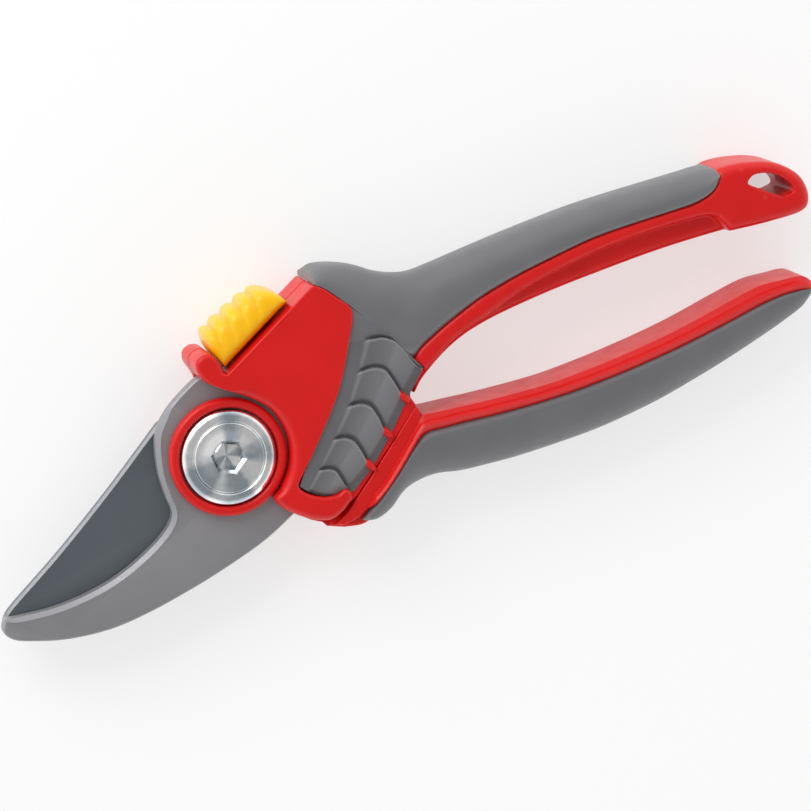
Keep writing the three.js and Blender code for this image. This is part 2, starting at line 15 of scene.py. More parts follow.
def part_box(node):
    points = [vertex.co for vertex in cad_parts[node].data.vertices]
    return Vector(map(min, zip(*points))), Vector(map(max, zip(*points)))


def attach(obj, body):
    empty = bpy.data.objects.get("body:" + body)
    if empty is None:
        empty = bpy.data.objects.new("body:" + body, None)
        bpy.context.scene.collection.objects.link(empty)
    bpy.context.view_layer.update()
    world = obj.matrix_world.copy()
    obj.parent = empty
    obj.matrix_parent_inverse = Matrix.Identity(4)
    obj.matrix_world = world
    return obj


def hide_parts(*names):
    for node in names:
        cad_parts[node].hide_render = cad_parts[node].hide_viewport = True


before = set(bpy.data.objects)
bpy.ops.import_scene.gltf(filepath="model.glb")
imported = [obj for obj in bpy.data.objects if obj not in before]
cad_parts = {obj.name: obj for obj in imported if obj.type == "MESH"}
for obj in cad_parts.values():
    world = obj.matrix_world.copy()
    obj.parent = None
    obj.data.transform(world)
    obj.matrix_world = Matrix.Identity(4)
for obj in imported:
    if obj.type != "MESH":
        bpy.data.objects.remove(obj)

MM = 0.001
Point = tuple[float, float]
Piece = bpy.types.Object
Tree = bpy.types.NodeTree
Socket = bpy.types.NodeSocket
log = logging.getLogger("pruning_shears")
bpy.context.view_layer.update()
SAME_PLACE = 0.02
LONGEST_REACH = 0.49


# ---------------------------------------------------------------- plan outlines
@dataclass(frozen=True)
class Corner:
    """One corner of an outline, in millimetres, rounded over a length along both sides."""

    x: float
    y: float
    rounding: float = 0.0


@dataclass(frozen=True)
class Smooth:
    """A stretch of an outline: one smooth curve through these points, in millimetres."""

    points: tuple[Point, ...]


def with_ends(points: Sequence[Point]) -> list[Vector]:
    """The control points of a curve, with one more carried on past each end."""
    spots = [Vector(p) for p in points]
    return [spots[0] * 2 - spots[1], *spots, spots[-1] * 2 - spots[-2]]


def on_span(span: Sequence[Vector], t: float) -> Vector:
    """The point at t, from 0 to 1, on the Catmull-Rom span of four control points."""
    a, b, c, d = span
    return (b * 2 + (c - a) * t + (a * 2 - b * 5 + c * 4 - d) * t**2 + (b * 3 - a - c * 3 + d) * t**3) / 2


def smooth_curve(points: Sequence[Point], step: float = 1.0) -> list[Point]:
    """Samples a smooth curve.

    Args:
        points: what the curve passes through.
        step: the rough length between samples.

    Returns:
        The samples, first and last point included.
    """
    ends = with_ends(points)
    samples: list[Point] = []
    for span in zip(ends, ends[1:], ends[2:], ends[3:]):
        count = max(2, round((span[2] - span[1]).length / step))
        samples += [tuple(on_span(span, i / count)) for i in range(count)]
    return [*samples, tuple(points[-1])]


def along_curve(points: Sequence[Point], share: float) -> Vector:
    """The point at this share of a smooth curve, counted in its control points.

    Args:
        points: what the curve passes through.
        share: 0 to 1 along it.

    Returns:
        The point.
    """
    spans = len(points) - 1
    k = min(int(share * spans), spans - 1)
    return on_span(with_ends(points)[k : k + 4], share * spans - k)


def along_polygon(points: Sequence[Point], share: float) -> Point:
    """The point at this share of a closed polygon's length.

    Args:
        points: the polygon's corners.
        share: 0 to 1 round it.

    Returns:
        The point.
    """
    corners = [Vector(p) for p in points] + [Vector(points[0])]
    lengths = [(b - a).length for a, b in zip(corners, corners[1:])]
    left = share * sum(lengths)
    for a, b, length in zip(corners, corners[1:], lengths):
        if left <= length:
            return tuple(a.lerp(b, left / length))
        left -= length
    return tuple(points[0])


def softened(start: Vector, corner: Vector, end: Vector, steps: int) -> list[Point]:
    """A round stretch that replaces a corner.

    Args:
        start: where it leaves the first side.
        corner: the corner it replaces.
        end: where it meets the second side.
        steps: pieces along it.

    Returns:
        Its points, both ends included.
    """
    shares = [k / steps for k in range(steps + 1)]
    return [tuple(start * (1 - t) ** 2 + corner * (2 * t * (1 - t)) + end * t**2) for t in shares]


def closed_outline(runs: Iterable["Corner | Smooth"], step: float = 1.0) -> list[Point]:
    """Turns corners and smooth runs into one closed polygon.

    Args:
        runs: the corners and curves in order.
        step: the rough length between samples on a curve.

    Returns:
        The polygon's points, without a repeated last point.
    """
    raw: list[tuple[Vector, float]] = []
    for run in runs:
        if isinstance(run, Corner):
            raw.append((Vector((run.x, run.y)), run.rounding))
        else:
            raw.extend((Vector(p), 0.0) for p in smooth_curve(run.points, step))
    kept = [item for i, item in enumerate(raw) if (item[0] - raw[i - 1][0]).length > SAME_PLACE]
    outline: list[Point] = []
    for i, (corner, rounding) in enumerate(kept):
        if rounding <= 0:
            outline.append((corner.x, corner.y))
            continue
        sides = (kept[i - 1][0] - corner, kept[(i + 1) % len(kept)][0] - corner)
        reaches = (min(rounding, side.length * LONGEST_REACH) for side in sides)
        start, end = (corner + side.normalized() * reach for side, reach in zip(sides, reaches))
        outline += softened(start, corner, end, 6)
    return outline


def rounded_profile(points: Sequence[tuple[float, float, float]]) -> list[Point]:
    """A turning profile with rounded corners.

    Args:
        points: its corners as (radius, height, rounding), where the first and last stay sharp.

    Returns:
        The profile's points.
    """
    rounded: list[Point] = []
    last = len(points) - 1
    for i, (r, z, rounding) in enumerate(points):
        if rounding <= 0 or i in (0, last):
            rounded.append((r, z))
            continue
        corner = Vector((r, z))
        sides = (Vector(points[i - 1][:2]) - corner, Vector(points[i + 1][:2]) - corner)
        start, end = (corner + side.normalized() * rounding for side in sides)
        rounded += softened(start, corner, end, 5)
    return rounded


def eased(share: float) -> float:
    """Rises from 0 to 1 like a quarter round, and stays there."""
    return math.sin(math.pi / 2 * min(share, 1))


def ramp(value: float, start: float, end: float) -> float:
    """Rises evenly from 0 at the start to 1 at the end, and stays level outside them."""
    return min(max((value - start) / (end - start), 0), 1)


# ---------------------------------------------------------------- mesh helpers
def new_object(name: str, bm: bmesh.types.BMesh, crease_angle: float = 32.0) -> Piece:
    """Makes an object of a bmesh, shaded smooth with sharp edges where faces turn.

    Args:
        name: the piece's name.
        bm: the finished bmesh, which is freed.
        crease_angle: edges that turn more than this many degrees are shaded sharp.

    Returns:
        The object, linked to the scene, with its place in its mesh.
    """
    mesh = bpy.data.meshes.new(name)
    bm.to_mesh(mesh)
    bm.free()
    piece = bpy.data.objects.new(name, mesh)
    bpy.context.scene.collection.objects.link(piece)
    return creased(piece, crease_angle)


def applied(piece: Piece) -> Piece:
    """Applies every modifier on the piece to its mesh.

    Args:
        piece: the piece, whose old mesh is used up.

    Returns:
        The piece.
    """
    graph = bpy.context.evaluated_depsgraph_get()
    mesh = bpy.data.meshes.new_from_object(piece.evaluated_get(graph))
    old = piece.data
    piece.modifiers.clear()
    piece.data = mesh
    bpy.data.meshes.remove(old)
    return piece


def use_up(piece: Piece) -> None:
    """Removes a piece whose shape is in another one now.

    Args:
        piece: the piece.
    """
    mesh = piece.data
    bpy.data.objects.remove(piece)
    bpy.data.meshes.remove(mesh)


def weighted(piece: Piece) -> Piece:
    """Shades broad faces flat and keeps the rounding in the narrow faces round them.

    Args:
        piece: the piece.

    Returns:
        The piece.
    """
    modifier = piece.modifiers.new("broad_faces", "WEIGHTED_NORMAL")
    modifier.keep_sharp = True
    return applied(piece)


def combined(piece: Piece, tools: Sequence[Piece], operation: str) -> Piece:
    """Joins tools to a piece, or cuts them out of it.

    Args:
        piece: the solid that stays.
        tools: the solids that are used up.
        operation: UNION, DIFFERENCE or INTERSECT.

    Returns:
        The piece.
    """
    for tool in tools:
        modifier = piece.modifiers.new("with_" + tool.name, "BOOLEAN")
        modifier.operation = operation
        modifier.solver = "MANIFOLD"
        modifier.object = tool
        applied(piece)
        use_up(tool)
    return piece


def joined(piece: Piece, *others: Piece) -> Piece:
    """Puts other closed pieces into a piece's mesh.

    Args:
        piece: the piece that stays.
        others: the pieces that sink into it and are used up.

    Returns:
        The piece.
    """
    bm = bmesh.new()
    for part in (piece, *others):
        bm.from_mesh(part.data)
    bm.to_mesh(piece.data)
    bm.free()
    for part in others:
        use_up(part)
    return piece


def creased(piece: Piece, crease_angle: float = 32.0) -> Piece:
    """Shades the piece smooth, with sharp edges where its faces turn.

    Args:
        piece: the piece.
        crease_angle: edges that turn more than this many degrees are shaded sharp.

    Returns:
        The piece.
    """
    piece.data.shade_smooth()
    piece.data.set_sharp_from_angle(angle=math.radians(crease_angle))
    return piece


def melted(piece: Piece, voxel: float, passes: int) -> Piece:
    """Blends a joined solid into one moulded skin.

    Args:
        piece: a closed solid.
        voxel: the grid size in millimetres.
        passes: how often the skin is relaxed.

    Returns:
        The piece.
    """
    remesh = piece.modifiers.new("skin", "REMESH")
    remesh.mode = "VOXEL"
    remesh.voxel_size = voxel * MM
    relax = piece.modifiers.new("relax", "SMOOTH")
    relax.factor = 0.5
    relax.iterations = passes
    return creased(applied(piece), 60)


def plate(
    name: str,
    outline: Sequence[Point],
    bottom: float,
    top: float,
    round_top: "float | Callable[[float, float], float]" = 0.4,
    round_bottom: float = 0.4,
    segments: int = 4,
    holes: Sequence[tuple[float, float, float]] = (),
) -> Piece:
    """A flat part with rounded edges.

    Args:
        name: the piece's name.
        outline: the plan outline in millimetres.
        bottom: height of the back face.
        top: height of the front face.
        round_top: radius of the front edge, or a function that gives it at a plan point.
        round_bottom: radius of the back edge.
        segments: faces across each rounding.
        holes: round through holes as (x, y, radius).

    Returns:
        The new object.
    """
    if callable(round_top):
        piece = contoured(name, outline, bottom, top, round_top, round_bottom, segments)
    else:
        bm = bmesh.new()
        corners = [bm.verts.new((x * MM, y * MM, bottom * MM)) for x, y in outline]
        face = bm.faces.new(corners)
        made = bmesh.ops.extrude_face_region(bm, geom=[face])
        raised = [g for g in made["geom"] if isinstance(g, bmesh.types.BMVert)]
        bmesh.ops.translate(bm, verts=raised, vec=(0, 0, (top - bottom) * MM))
        bmesh.ops.recalc_face_normals(bm, faces=bm.faces)
        for height, radius in ((top, round_top), (bottom, round_bottom)):
            if radius > 0:
                rim = [e for e in bm.edges if all(abs(v.co.z - height * MM) < 1e-7 for v in e.verts)]
                bmesh.ops.bevel(
                    bm, geom=rim, offset=radius * MM, offset_type="OFFSET", segments=segments, profile=0.5,
                    affect="EDGES", clamp_overlap=False, material=-1,
                )
        piece = new_object(name, bm)
    cutters = [drum(name + "_hole", r, bottom - 1, top + 1, (x, y)) for x, y, r in holes]
    if cutters:
        creased(combined(piece, cutters, "DIFFERENCE"))
    return weighted(piece)


def contoured(
    name: str,
    outline: Sequence[Point],
    bottom: float,
    top: float,
    radius_at: Callable[[float, float], float],
    round_bottom: float,
    segments: int,
) -> Piece:
    """A plate whose front rounding changes along its outline.

    Args:
        name: the piece's name.
        outline: the plan outline in millimetres.
        bottom: height of the back face.
        top: height of the front face.
        radius_at: the front rounding at a plan point.
        round_bottom: the back chamfer.
        segments: faces across the front rounding.

    Returns:
        The new object.
    """
    count = len(outline)
    spots = [Vector(p) for p in outline]
    turn = sum(spots[i - 1].cross(spots[i]) for i in range(count))
    radii = [radius_at(*p) for p in outline]
    for _ in range(4):
        radii = [(radii[i - 1] + 2 * radii[i] + radii[(i + 1) % count]) / 4 for i in range(count)]
    inward: list[Vector] = []
    for i in range(count):
        mean = (spots[i] - spots[i - 1]).normalized() + (spots[(i + 1) % count] - spots[i]).normalized()
        normal = Vector((-mean.y, mean.x)).normalized() * (1 if turn > 0 else -1)
        inward.append(normal / max(mean.length / 2, 0.6))
    back = ((bottom, round_bottom), (bottom + round_bottom, 0.0))

    def place(along: float, share: float) -> Sequence[float]:
        """One corner of one ring: the back chamfer's two rings, then the front rounding.

        Args:
            along: 0 to 1 from the first ring to the last.
            share: 0 to 1 round the ring.

        Returns:
            The point in millimetres.
        """
        ring, i = round(along * (len(back) + segments)), round(share * count)
        if ring < len(back):
            height, inset = back[ring]
        else:
            angle = math.pi / 2 * (ring - len(back)) / segments
            inset = radii[i] * (1 - math.cos(angle))
            height = top - radii[i] * (1 - math.sin(angle))
        spot = spots[i] + inward[i] * inset
        return spot.x, spot.y, height

    return creased(skin(name, place, len(back) + segments + 1, count))


def drum(
    name: str, radius: float, bottom: float, top: float, place: Point = (0, 0), sides: int = 48
) -> Piece:
    """An upright cylinder, used as a tool or a blank.

    Args:
        name: the piece's name.
        radius: in millimetres.
        bottom: height of the lower end.
        top: height of the upper end.
        place: where its axis stands.
        sides: 6 makes a hexagon.

    Returns:
        The new object.
    """
    bm = bmesh.new()
    stand = Matrix.Translation((place[0] * MM, place[1] * MM, (bottom + top) / 2 * MM))
    size = {"radius1": radius * MM, "radius2": radius * MM, "depth": (top - bottom) * MM}
    bmesh.ops.create_cone(bm, cap_ends=True, segments=sides, matrix=stand, **size)
    return new_object(name, bm)


def spun(
    name: str, profile: Sequence[Point], place: Point = (0, 0), steps: int = 96, crease_angle: float = 32.0
) -> Piece:
    """A turned part from its half section.

    Args:
        name: the piece's name.
        profile: (radius, height) points in millimetres, from axis to axis or closed on itself.
        place: where the axis stands.
        steps: faces round the axis.
        crease_angle: edges that turn more than this are shaded sharp.

    Returns:
        The new object.
    """
    bm = bmesh.new()
    verts = [bm.verts.new((r * MM, 0, z * MM)) for r, z in profile]
    edges = [bm.edges.new(pair) for pair in zip(verts, verts[1:])]
    if profile[0][0] > 0:
        edges.append(bm.edges.new((verts[-1], verts[0])))
    bmesh.ops.spin(
        bm, geom=verts + edges, cent=(0, 0, 0), axis=(0, 0, 1), angle=math.tau, steps=steps, use_merge=True
    )
    bmesh.ops.remove_doubles(bm, verts=bm.verts, dist=1e-7)
    bmesh.ops.recalc_face_normals(bm, faces=bm.faces)
    bmesh.ops.translate(bm, verts=bm.verts, vec=(place[0] * MM, place[1] * MM, 0))
    return new_object(name, bm, crease_angle)


def skin(
    name: str, place: Callable[[float, float], Sequence[float]], stations: int = 70, around: int = 40
) -> Piece:
    """A closed skin through a row of sections.

    Args:
        name: the piece's name.
        place: from a share along the part and a share round its section to a point in millimetres.
        stations: how many sections.
        around: points in each section.

    Returns:
        The new object.
    """
    bm = bmesh.new()
    rings: list[list[bmesh.types.BMEdge]] = []
    for i in range(stations):
        ring = bmesh.ops.create_circle(bm, cap_ends=False, segments=around, radius=1.0)["verts"]
        for k, vert in enumerate(ring):
            vert.co = Vector(place(i / (stations - 1), k / around)) * MM
        rings.append(list(dict.fromkeys(edge for vert in ring for edge in vert.link_edges)))
    for lower, upper in zip(rings, rings[1:]):
        bmesh.ops.bridge_loops(bm, edges=lower + upper)
    bmesh.ops.edgenet_fill(bm, edges=rings[0])
    bmesh.ops.edgenet_fill(bm, edges=rings[-1])
    bmesh.ops.recalc_face_normals(bm, faces=bm.faces)
    return new_object(name, bm, 50)


def sleeve(
    name: str,
    inner: Sequence[Point],
    outer: Sequence[Point],
    section: Callable[[float, float], Point],
    stations: int = 110,
    around: int = 48,
) -> Piece:
    """A closed skin that stands between two plan curves.

    Args:
        name: the piece's name.
        inner: what the curve on one side passes through.
        outer: what the curve on the other side passes through.
        section: from a share along and a share round to the share across and the height.
        stations: how many sections.
        around: points in each section.

    Returns:
        The new object.
    """

    def place(along: float, share: float) -> Sequence[float]:
        """The section's point, between the two curves."""
        across, height = section(along, share)
        return *along_curve(inner, along).lerp(along_curve(outer, along), across), height

    return skin(name, place, stations, around)


# ---------------------------------------------------------------- node trees
def fed(tree: Tree, node: bpy.types.Node, feeds: dict) -> bpy.types.Node:
    """Fills in a node's inputs.

    Args:
        tree: the node tree it is in.
        node: the node.
        feeds: a value, or the output that feeds it, for each input by its name or number.

    Returns:
        The node.
    """
    for name, feed in feeds.items():
        if isinstance(feed, Socket):
            tree.links.new(feed, node.inputs[name])
        else:
            node.inputs[name].default_value = feed
    return node


def wired(tree: Tree, kind: str, feeds: dict, **settings: object) -> bpy.types.Node:
    """Adds a node.

    Args:
        tree: the node tree.
        kind: the node's type.
        feeds: what its inputs get, as in fed.
        settings: its other properties.

    Returns:
        The node.
    """
    node = tree.nodes.new(kind)
    for name, setting in settings.items():
        setattr(node, name, setting)
    return fed(tree, node, feeds)


def spread(
    tree: Tree, value: Socket, low: float, high: float, start: float = 0.0, end: float = 1.0
) -> Socket:
    """Stretches the values between low and high over start to end.

    Args:
        tree: the node tree.
        value: the output to stretch.
        low: the value that becomes start.
        high: the value that becomes end.
        start: the first new value.
        end: the last new value.

    Returns:
        The stretched output.
    """
    limits = {"From Min": low, "From Max": high, "To Min": start, "To Max": end}
    return wired(tree, "ShaderNodeMapRange", {**limits, "Value": value}).outputs["Result"]


def noise(tree: Tree, place: Socket, size: float, detail: float) -> Socket:
    """Noise.

    Args:
        tree: the node tree.
        place: the output with the coordinates.
        size: what its patches measure, about, in millimetres.
        detail: how many finer layers it has.

    Returns:
        Its output.
    """
    feeds = {"Scale": 1 / (size * MM), "Detail": detail, "Vector": place}
    return wired(tree, "ShaderNodeTexNoise", feeds).outputs["Fac"]


# ---------------------------------------------------------------- finishes
class Bump(enum.Enum):
    """The kinds of fine relief a finish can have."""

    GRAIN = "grain"
    BRUSHED = "brushed"
    PLATED = "plated"


@dataclass(frozen=True)
class Finish:
    """One procedural finish. Colours are linear RGB, sizes are in millimetres.

    Args:
        name: the material's name.
        slot: the record's material slot; not used.
        colour: the main colour, which on zinc is also the bright side of its painted reflections.
        second_tone_and_reflection: the colour it drifts to, which on zinc is also the dim side of its painted
            reflections.
        drift: the size of the colour patches.
        roughness: the smoothest and roughest value.
        grain: the size of the surface relief.
        relief: the strength of the relief, 0 to 1.
        kind: the kind of relief.
        metal: 1 on metals.
        gloss: how strongly it mirrors, where 0.5 is common plastic.
        coat: clear gloss on top.
        sheen: soft bloom of rubber.
        scatter: how much light passes into the surface.
        contrast: how sharply the two colours part, 0 to 1.
        edge: the colour that convex edges show, as edge wear, and on the grey rubber partly as a painted
            highlight.
        edge_tint_and_painted_light: how much of it they show, 0 to 1, and how much painted shade sharp
            grooves take.
        reflection_wedges: painted reflections on turned faces: the share of the second colour at even steps
            round the pivot axis.
    """

    name: str
    slot: str
    colour: tuple[float, float, float]
    second_tone_and_reflection: tuple[float, float, float]
    drift: float
    roughness: tuple[float, float]
    grain: float
    relief: float
    kind: Bump = Bump.GRAIN
    metal: float = 0.0
    gloss: float = 0.5
    coat: float = 0.0
    sheen: float = 0.0
    scatter: float = 0.0
    contrast: float = 0.3
    edge: tuple[float, float, float] = (1.0, 1.0, 1.0)
    edge_tint_and_painted_light: float = 0.0
    reflection_wedges: tuple[float, ...] = ()

    def material(self) -> bpy.types.Material:
        """Builds the node material, once per name.

        Returns:
            The material.
        """
        made = bpy.data.materials.get(self.name)
        if made:
            return made
        made = bpy.data.materials.new(self.name)
        made.use_nodes = True
        tree = made.node_tree
        tree.nodes.clear()
        place = wired(tree, "ShaderNodeTexCoord", {}).outputs["Object"]
        patches = noise(tree, place, self.drift, 4.0)
        # Turned faces get painted reflections in wedges round the pivot axis.
        if self.reflection_wedges:
            patches = self._painted_reflections(tree, place, patches)
        shares = spread(tree, patches, 0.5 * self.contrast, 1 - 0.5 * self.contrast)
        colours = {0: shares, 6: (*self.colour, 1), 7: (*self.second_tone_and_reflection, 1)}
        tint = wired(tree, "ShaderNodeMix", colours, data_type="RGBA").outputs[2]
        fine = noise(tree, place, self.drift * 0.35, 5.0)
        heights = {"Strength": self.relief, "Distance": 0.05 * MM, "Height": self._relief(tree, place)}
        shader = wired(tree, "ShaderNodeBsdfPrincipled", {
            "Base Color": self._tint_edges_and_paint_light(tree, tint),
            "Metallic": self.metal,
            "Roughness": spread(tree, fine, 0.3, 0.7, *self.roughness),
            "Normal": wired(tree, "ShaderNodeBump", heights).outputs["Normal"],
            "Specular IOR Level": self.gloss,
            "Coat Weight": self.coat,
            "Coat Roughness": 0.18,
            "Sheen Weight": self.sheen,
            "Sheen Roughness": 0.5,
            "Subsurface Weight": self.scatter,
            "Subsurface Scale": 0.0012,
        })
        wired(tree, "ShaderNodeOutputMaterial", {"Surface": shader.outputs["BSDF"]})
        return made

    def _painted_reflections(self, tree: Tree, place: Socket, patches: Socket) -> Socket:
        """Painted reflections: light and dim wedges that spread round the pivot axis, as a turned face
        mirrors the studio.

        Args:
            tree: the node tree.
            place: the output with the coordinates.
            patches: the patches that break the streaks up.

        Returns:
            The output with the share of the second colour, the dim side of the painted reflections.
        """
        parts = wired(tree, "ShaderNodeSeparateXYZ", {"Vector": place}).outputs
        angle = wired(tree, "ShaderNodeMath", {0: parts["Y"], 1: parts["X"]}, operation="ARCTAN2")
        turn = spread(tree, angle.outputs["Value"], -math.pi, math.pi)
        shares = wired(tree, "ShaderNodeValToRGB", {"Fac": turn})
        shares.color_ramp.interpolation = "EASE"
        stops = shares.color_ramp.elements
        for k, second_tone_and_reflection in enumerate((*self.reflection_wedges, self.reflection_wedges[0])):
            stop = stops[k] if k < 2 else stops.new(k / len(self.reflection_wedges))
            stop.position = k / len(self.reflection_wedges)
            stop.color = (second_tone_and_reflection, second_tone_and_reflection, second_tone_and_reflection, 1)
        broken = {0: 0.52, 2: shares.outputs["Color"], 3: patches}
        return wired(tree, "ShaderNodeMix", broken, data_type="FLOAT").outputs[0]

    def _tint_edges_and_paint_light(self, tree: Tree, colour: Socket) -> Socket:
        """Mixes in the edge colour where the surface is sharply convex, as edge wear and on the grey rubber
        partly as a painted highlight, and paints shade into sharp grooves.

        The pad's stored painted light adds to the first where it is above 0, and to the second where it is
        below.

        Args:
            tree: the node tree.
            colour: the output with the colour so far.

        Returns:
            The output with the new colour.
        """
        shape = wired(tree, "ShaderNodeNewGeometry", {}).outputs["Pointiness"]
        pad_painted_light = wired(tree, "ShaderNodeAttribute", {}, attribute_name="pad_painted_light").outputs["Fac"]
        # Painted shade in grooves: a quarter of the main colour; the first pass mixes in edge wear, on the
        # grey rubber partly a painted highlight.
        groove_shade_colour = [0.25 * c for c in self.colour]
        for low, high, sign, shown in ((0.53, 0.60, 1, self.edge), (0.47, 0.40, -1, groove_shade_colour)):
            marked = {0: pad_painted_light, 1: sign, 2: spread(tree, shape, low, high, 0.0, self.edge_tint_and_painted_light)}
            share = wired(tree, "ShaderNodeMath", marked, operation="MULTIPLY_ADD", use_clamp=True)
            colours = {0: share.outputs["Value"], 6: colour, 7: (*shown, 1)}
            colour = wired(tree, "ShaderNodeMix", colours, data_type="RGBA").outputs[2]
        return colour

    def _relief(self, tree: Tree, place: Socket) -> Socket:
        """The height pattern of this finish's kind.

        Args:
            tree: the node tree.
            place: the output with the coordinates.

        Returns:
            The output with the heights.
        """
        if self.kind is Bump.GRAIN:
            cells = {"Scale": 1 / (self.grain * MM), "Randomness": 1.0, "Vector": place}
            return wired(tree, "ShaderNodeTexVoronoi", cells).outputs["Distance"]
        if self.kind is Bump.BRUSHED:
            drawn = {"Rotation": (0, 0, math.radians(35)), "Scale": (0.08, 1.0, 1.0), "Vector": place}
            return noise(tree, wired(tree, "ShaderNodeMapping", drawn).outputs["Vector"], self.grain, 3.0)
        return noise(tree, place, self.grain, 6.0)


RED_NYLON = Finish(
    "red_moulded_nylon", "red_nylon", (0.72, 0.007, 0.006), (0.62, 0.005, 0.005), 11, (0.30, 0.40),
    0.35, 0.10, gloss=0.32, coat=0.06, scatter=0.03, edge=(0.80, 0.05, 0.05), edge_tint_and_painted_light=0.35,
)
# Its convex edges take edge wear and a painted highlight, and its grooves take painted shade.
GREY_RUBBER = Finish(
    "grey_soft_rubber", "grey_rubber", (0.128, 0.129, 0.138), (0.152, 0.152, 0.160), 8, (0.40, 0.54),
    0.28, 0.28, gloss=0.5, sheen=0.14, edge=(0.30, 0.30, 0.31), edge_tint_and_painted_light=0.6,
)
YELLOW_NYLON = Finish(
    "yellow_moulded_nylon", "yellow_nylon", (1.0, 0.58, 0.0), (1.0, 0.50, 0.0), 6, (0.24, 0.34), 0.4, 0.06,
    gloss=0.4, coat=0.15, scatter=0.05, edge=(1.0, 0.72, 0.02), edge_tint_and_painted_light=0.4,
)
HOOK_STEEL = Finish(
    "blasted_hook_steel", "hook_steel", (0.200, 0.198, 0.210), (0.232, 0.226, 0.236), 14, (0.40, 0.52),
    0.16, 0.22, metal=0.3, edge=(0.5, 0.5, 0.52), edge_tint_and_painted_light=0.6,
)
EDGE_STEEL = Finish(
    "ground_edge_steel", "hook_steel", (0.31, 0.31, 0.33), (0.27, 0.27, 0.285), 5, (0.30, 0.42), 0.12, 0.25,
    kind=Bump.BRUSHED, metal=0.3,
)
COATED_STEEL = Finish(
    "coated_blade_steel", "coated_steel", (0.062, 0.078, 0.095), (0.074, 0.090, 0.107), 16, (0.34, 0.46),
    0.2, 0.14, metal=0.15, coat=0.1, edge=(0.30, 0.32, 0.34), edge_tint_and_painted_light=0.5,
)
# Painted reflections: the near-white and blue-grey colours lie in light and dim wedges round the pivot axis,
# as a turned face would mirror the studio; the noise patches are the plating's mottle.
ZINC_STEEL = Finish(
    "zinc_plated_steel", "zinc_steel", (0.99, 0.99, 0.99), (0.46, 0.52, 0.57), 5, (0.14, 0.28), 0.8, 0.14,
    kind=Bump.PLATED, metal=1.0, contrast=0.75,
    reflection_wedges=(0.8, 0.95, 0.3, 0.75, 0.9, 0.2, 0.1, 0.75, 0.55, 0.1, 0.45, 0.8, 0.1, 0.0, 0.05, 0.4),
)
SPRING_STEEL = Finish(
    "drawn_spring_steel", "spring_steel", (0.40, 0.41, 0.42), (0.30, 0.31, 0.32), 2, (0.28, 0.40), 0.15, 0.2,
    kind=Bump.BRUSHED, metal=1.0,
)


def dress(piece: Piece, finish: Finish, body: str, *nodes: str) -> Piece:
    """Gives a piece its finish, its body and the nodes it stands for.

    Args:
        piece: the finished piece.
        finish: its material.
        body: the CAD body it rides on.
        nodes: the CAD nodes that it replaces.

    Returns:
        The piece.
    """
    piece.data.materials.clear()
    piece.data.materials.append(finish.material())
    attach(piece, body)
    if nodes:
        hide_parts(*nodes)
    log.info("%s: %d faces on %s", piece.name, len(piece.data.polygons), body)
    return piece


@functools.cache
def extent(node: str) -> tuple[tuple[float, ...], tuple[float, ...]]:
    """The lowest and highest corner of a CAD node's box, in millimetres."""
    low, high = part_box(node)
    return tuple(v / MM for v in low), tuple(v / MM for v in high)


def level(node: str) -> tuple[float, float]:
    """The lowest and highest height of a CAD node, in millimetres."""
    low, high = extent(node)
    return low[2], high[2]


def middle_of(node: str) -> Point:
    """The plan point in the middle of a CAD node, in millimetres."""
    low, high = extent(node)
    return (low[0] + high[0]) / 2, (low[1] + high[1]) / 2


# ---------------------------------------------------------------- the sub-assemblies
class Body(str, enum.Enum):
    """The rigid bodies of the frame."""

    HOOK = "hook_lever"
    BLADE = "blade_lever"
    LOCK = "lock"


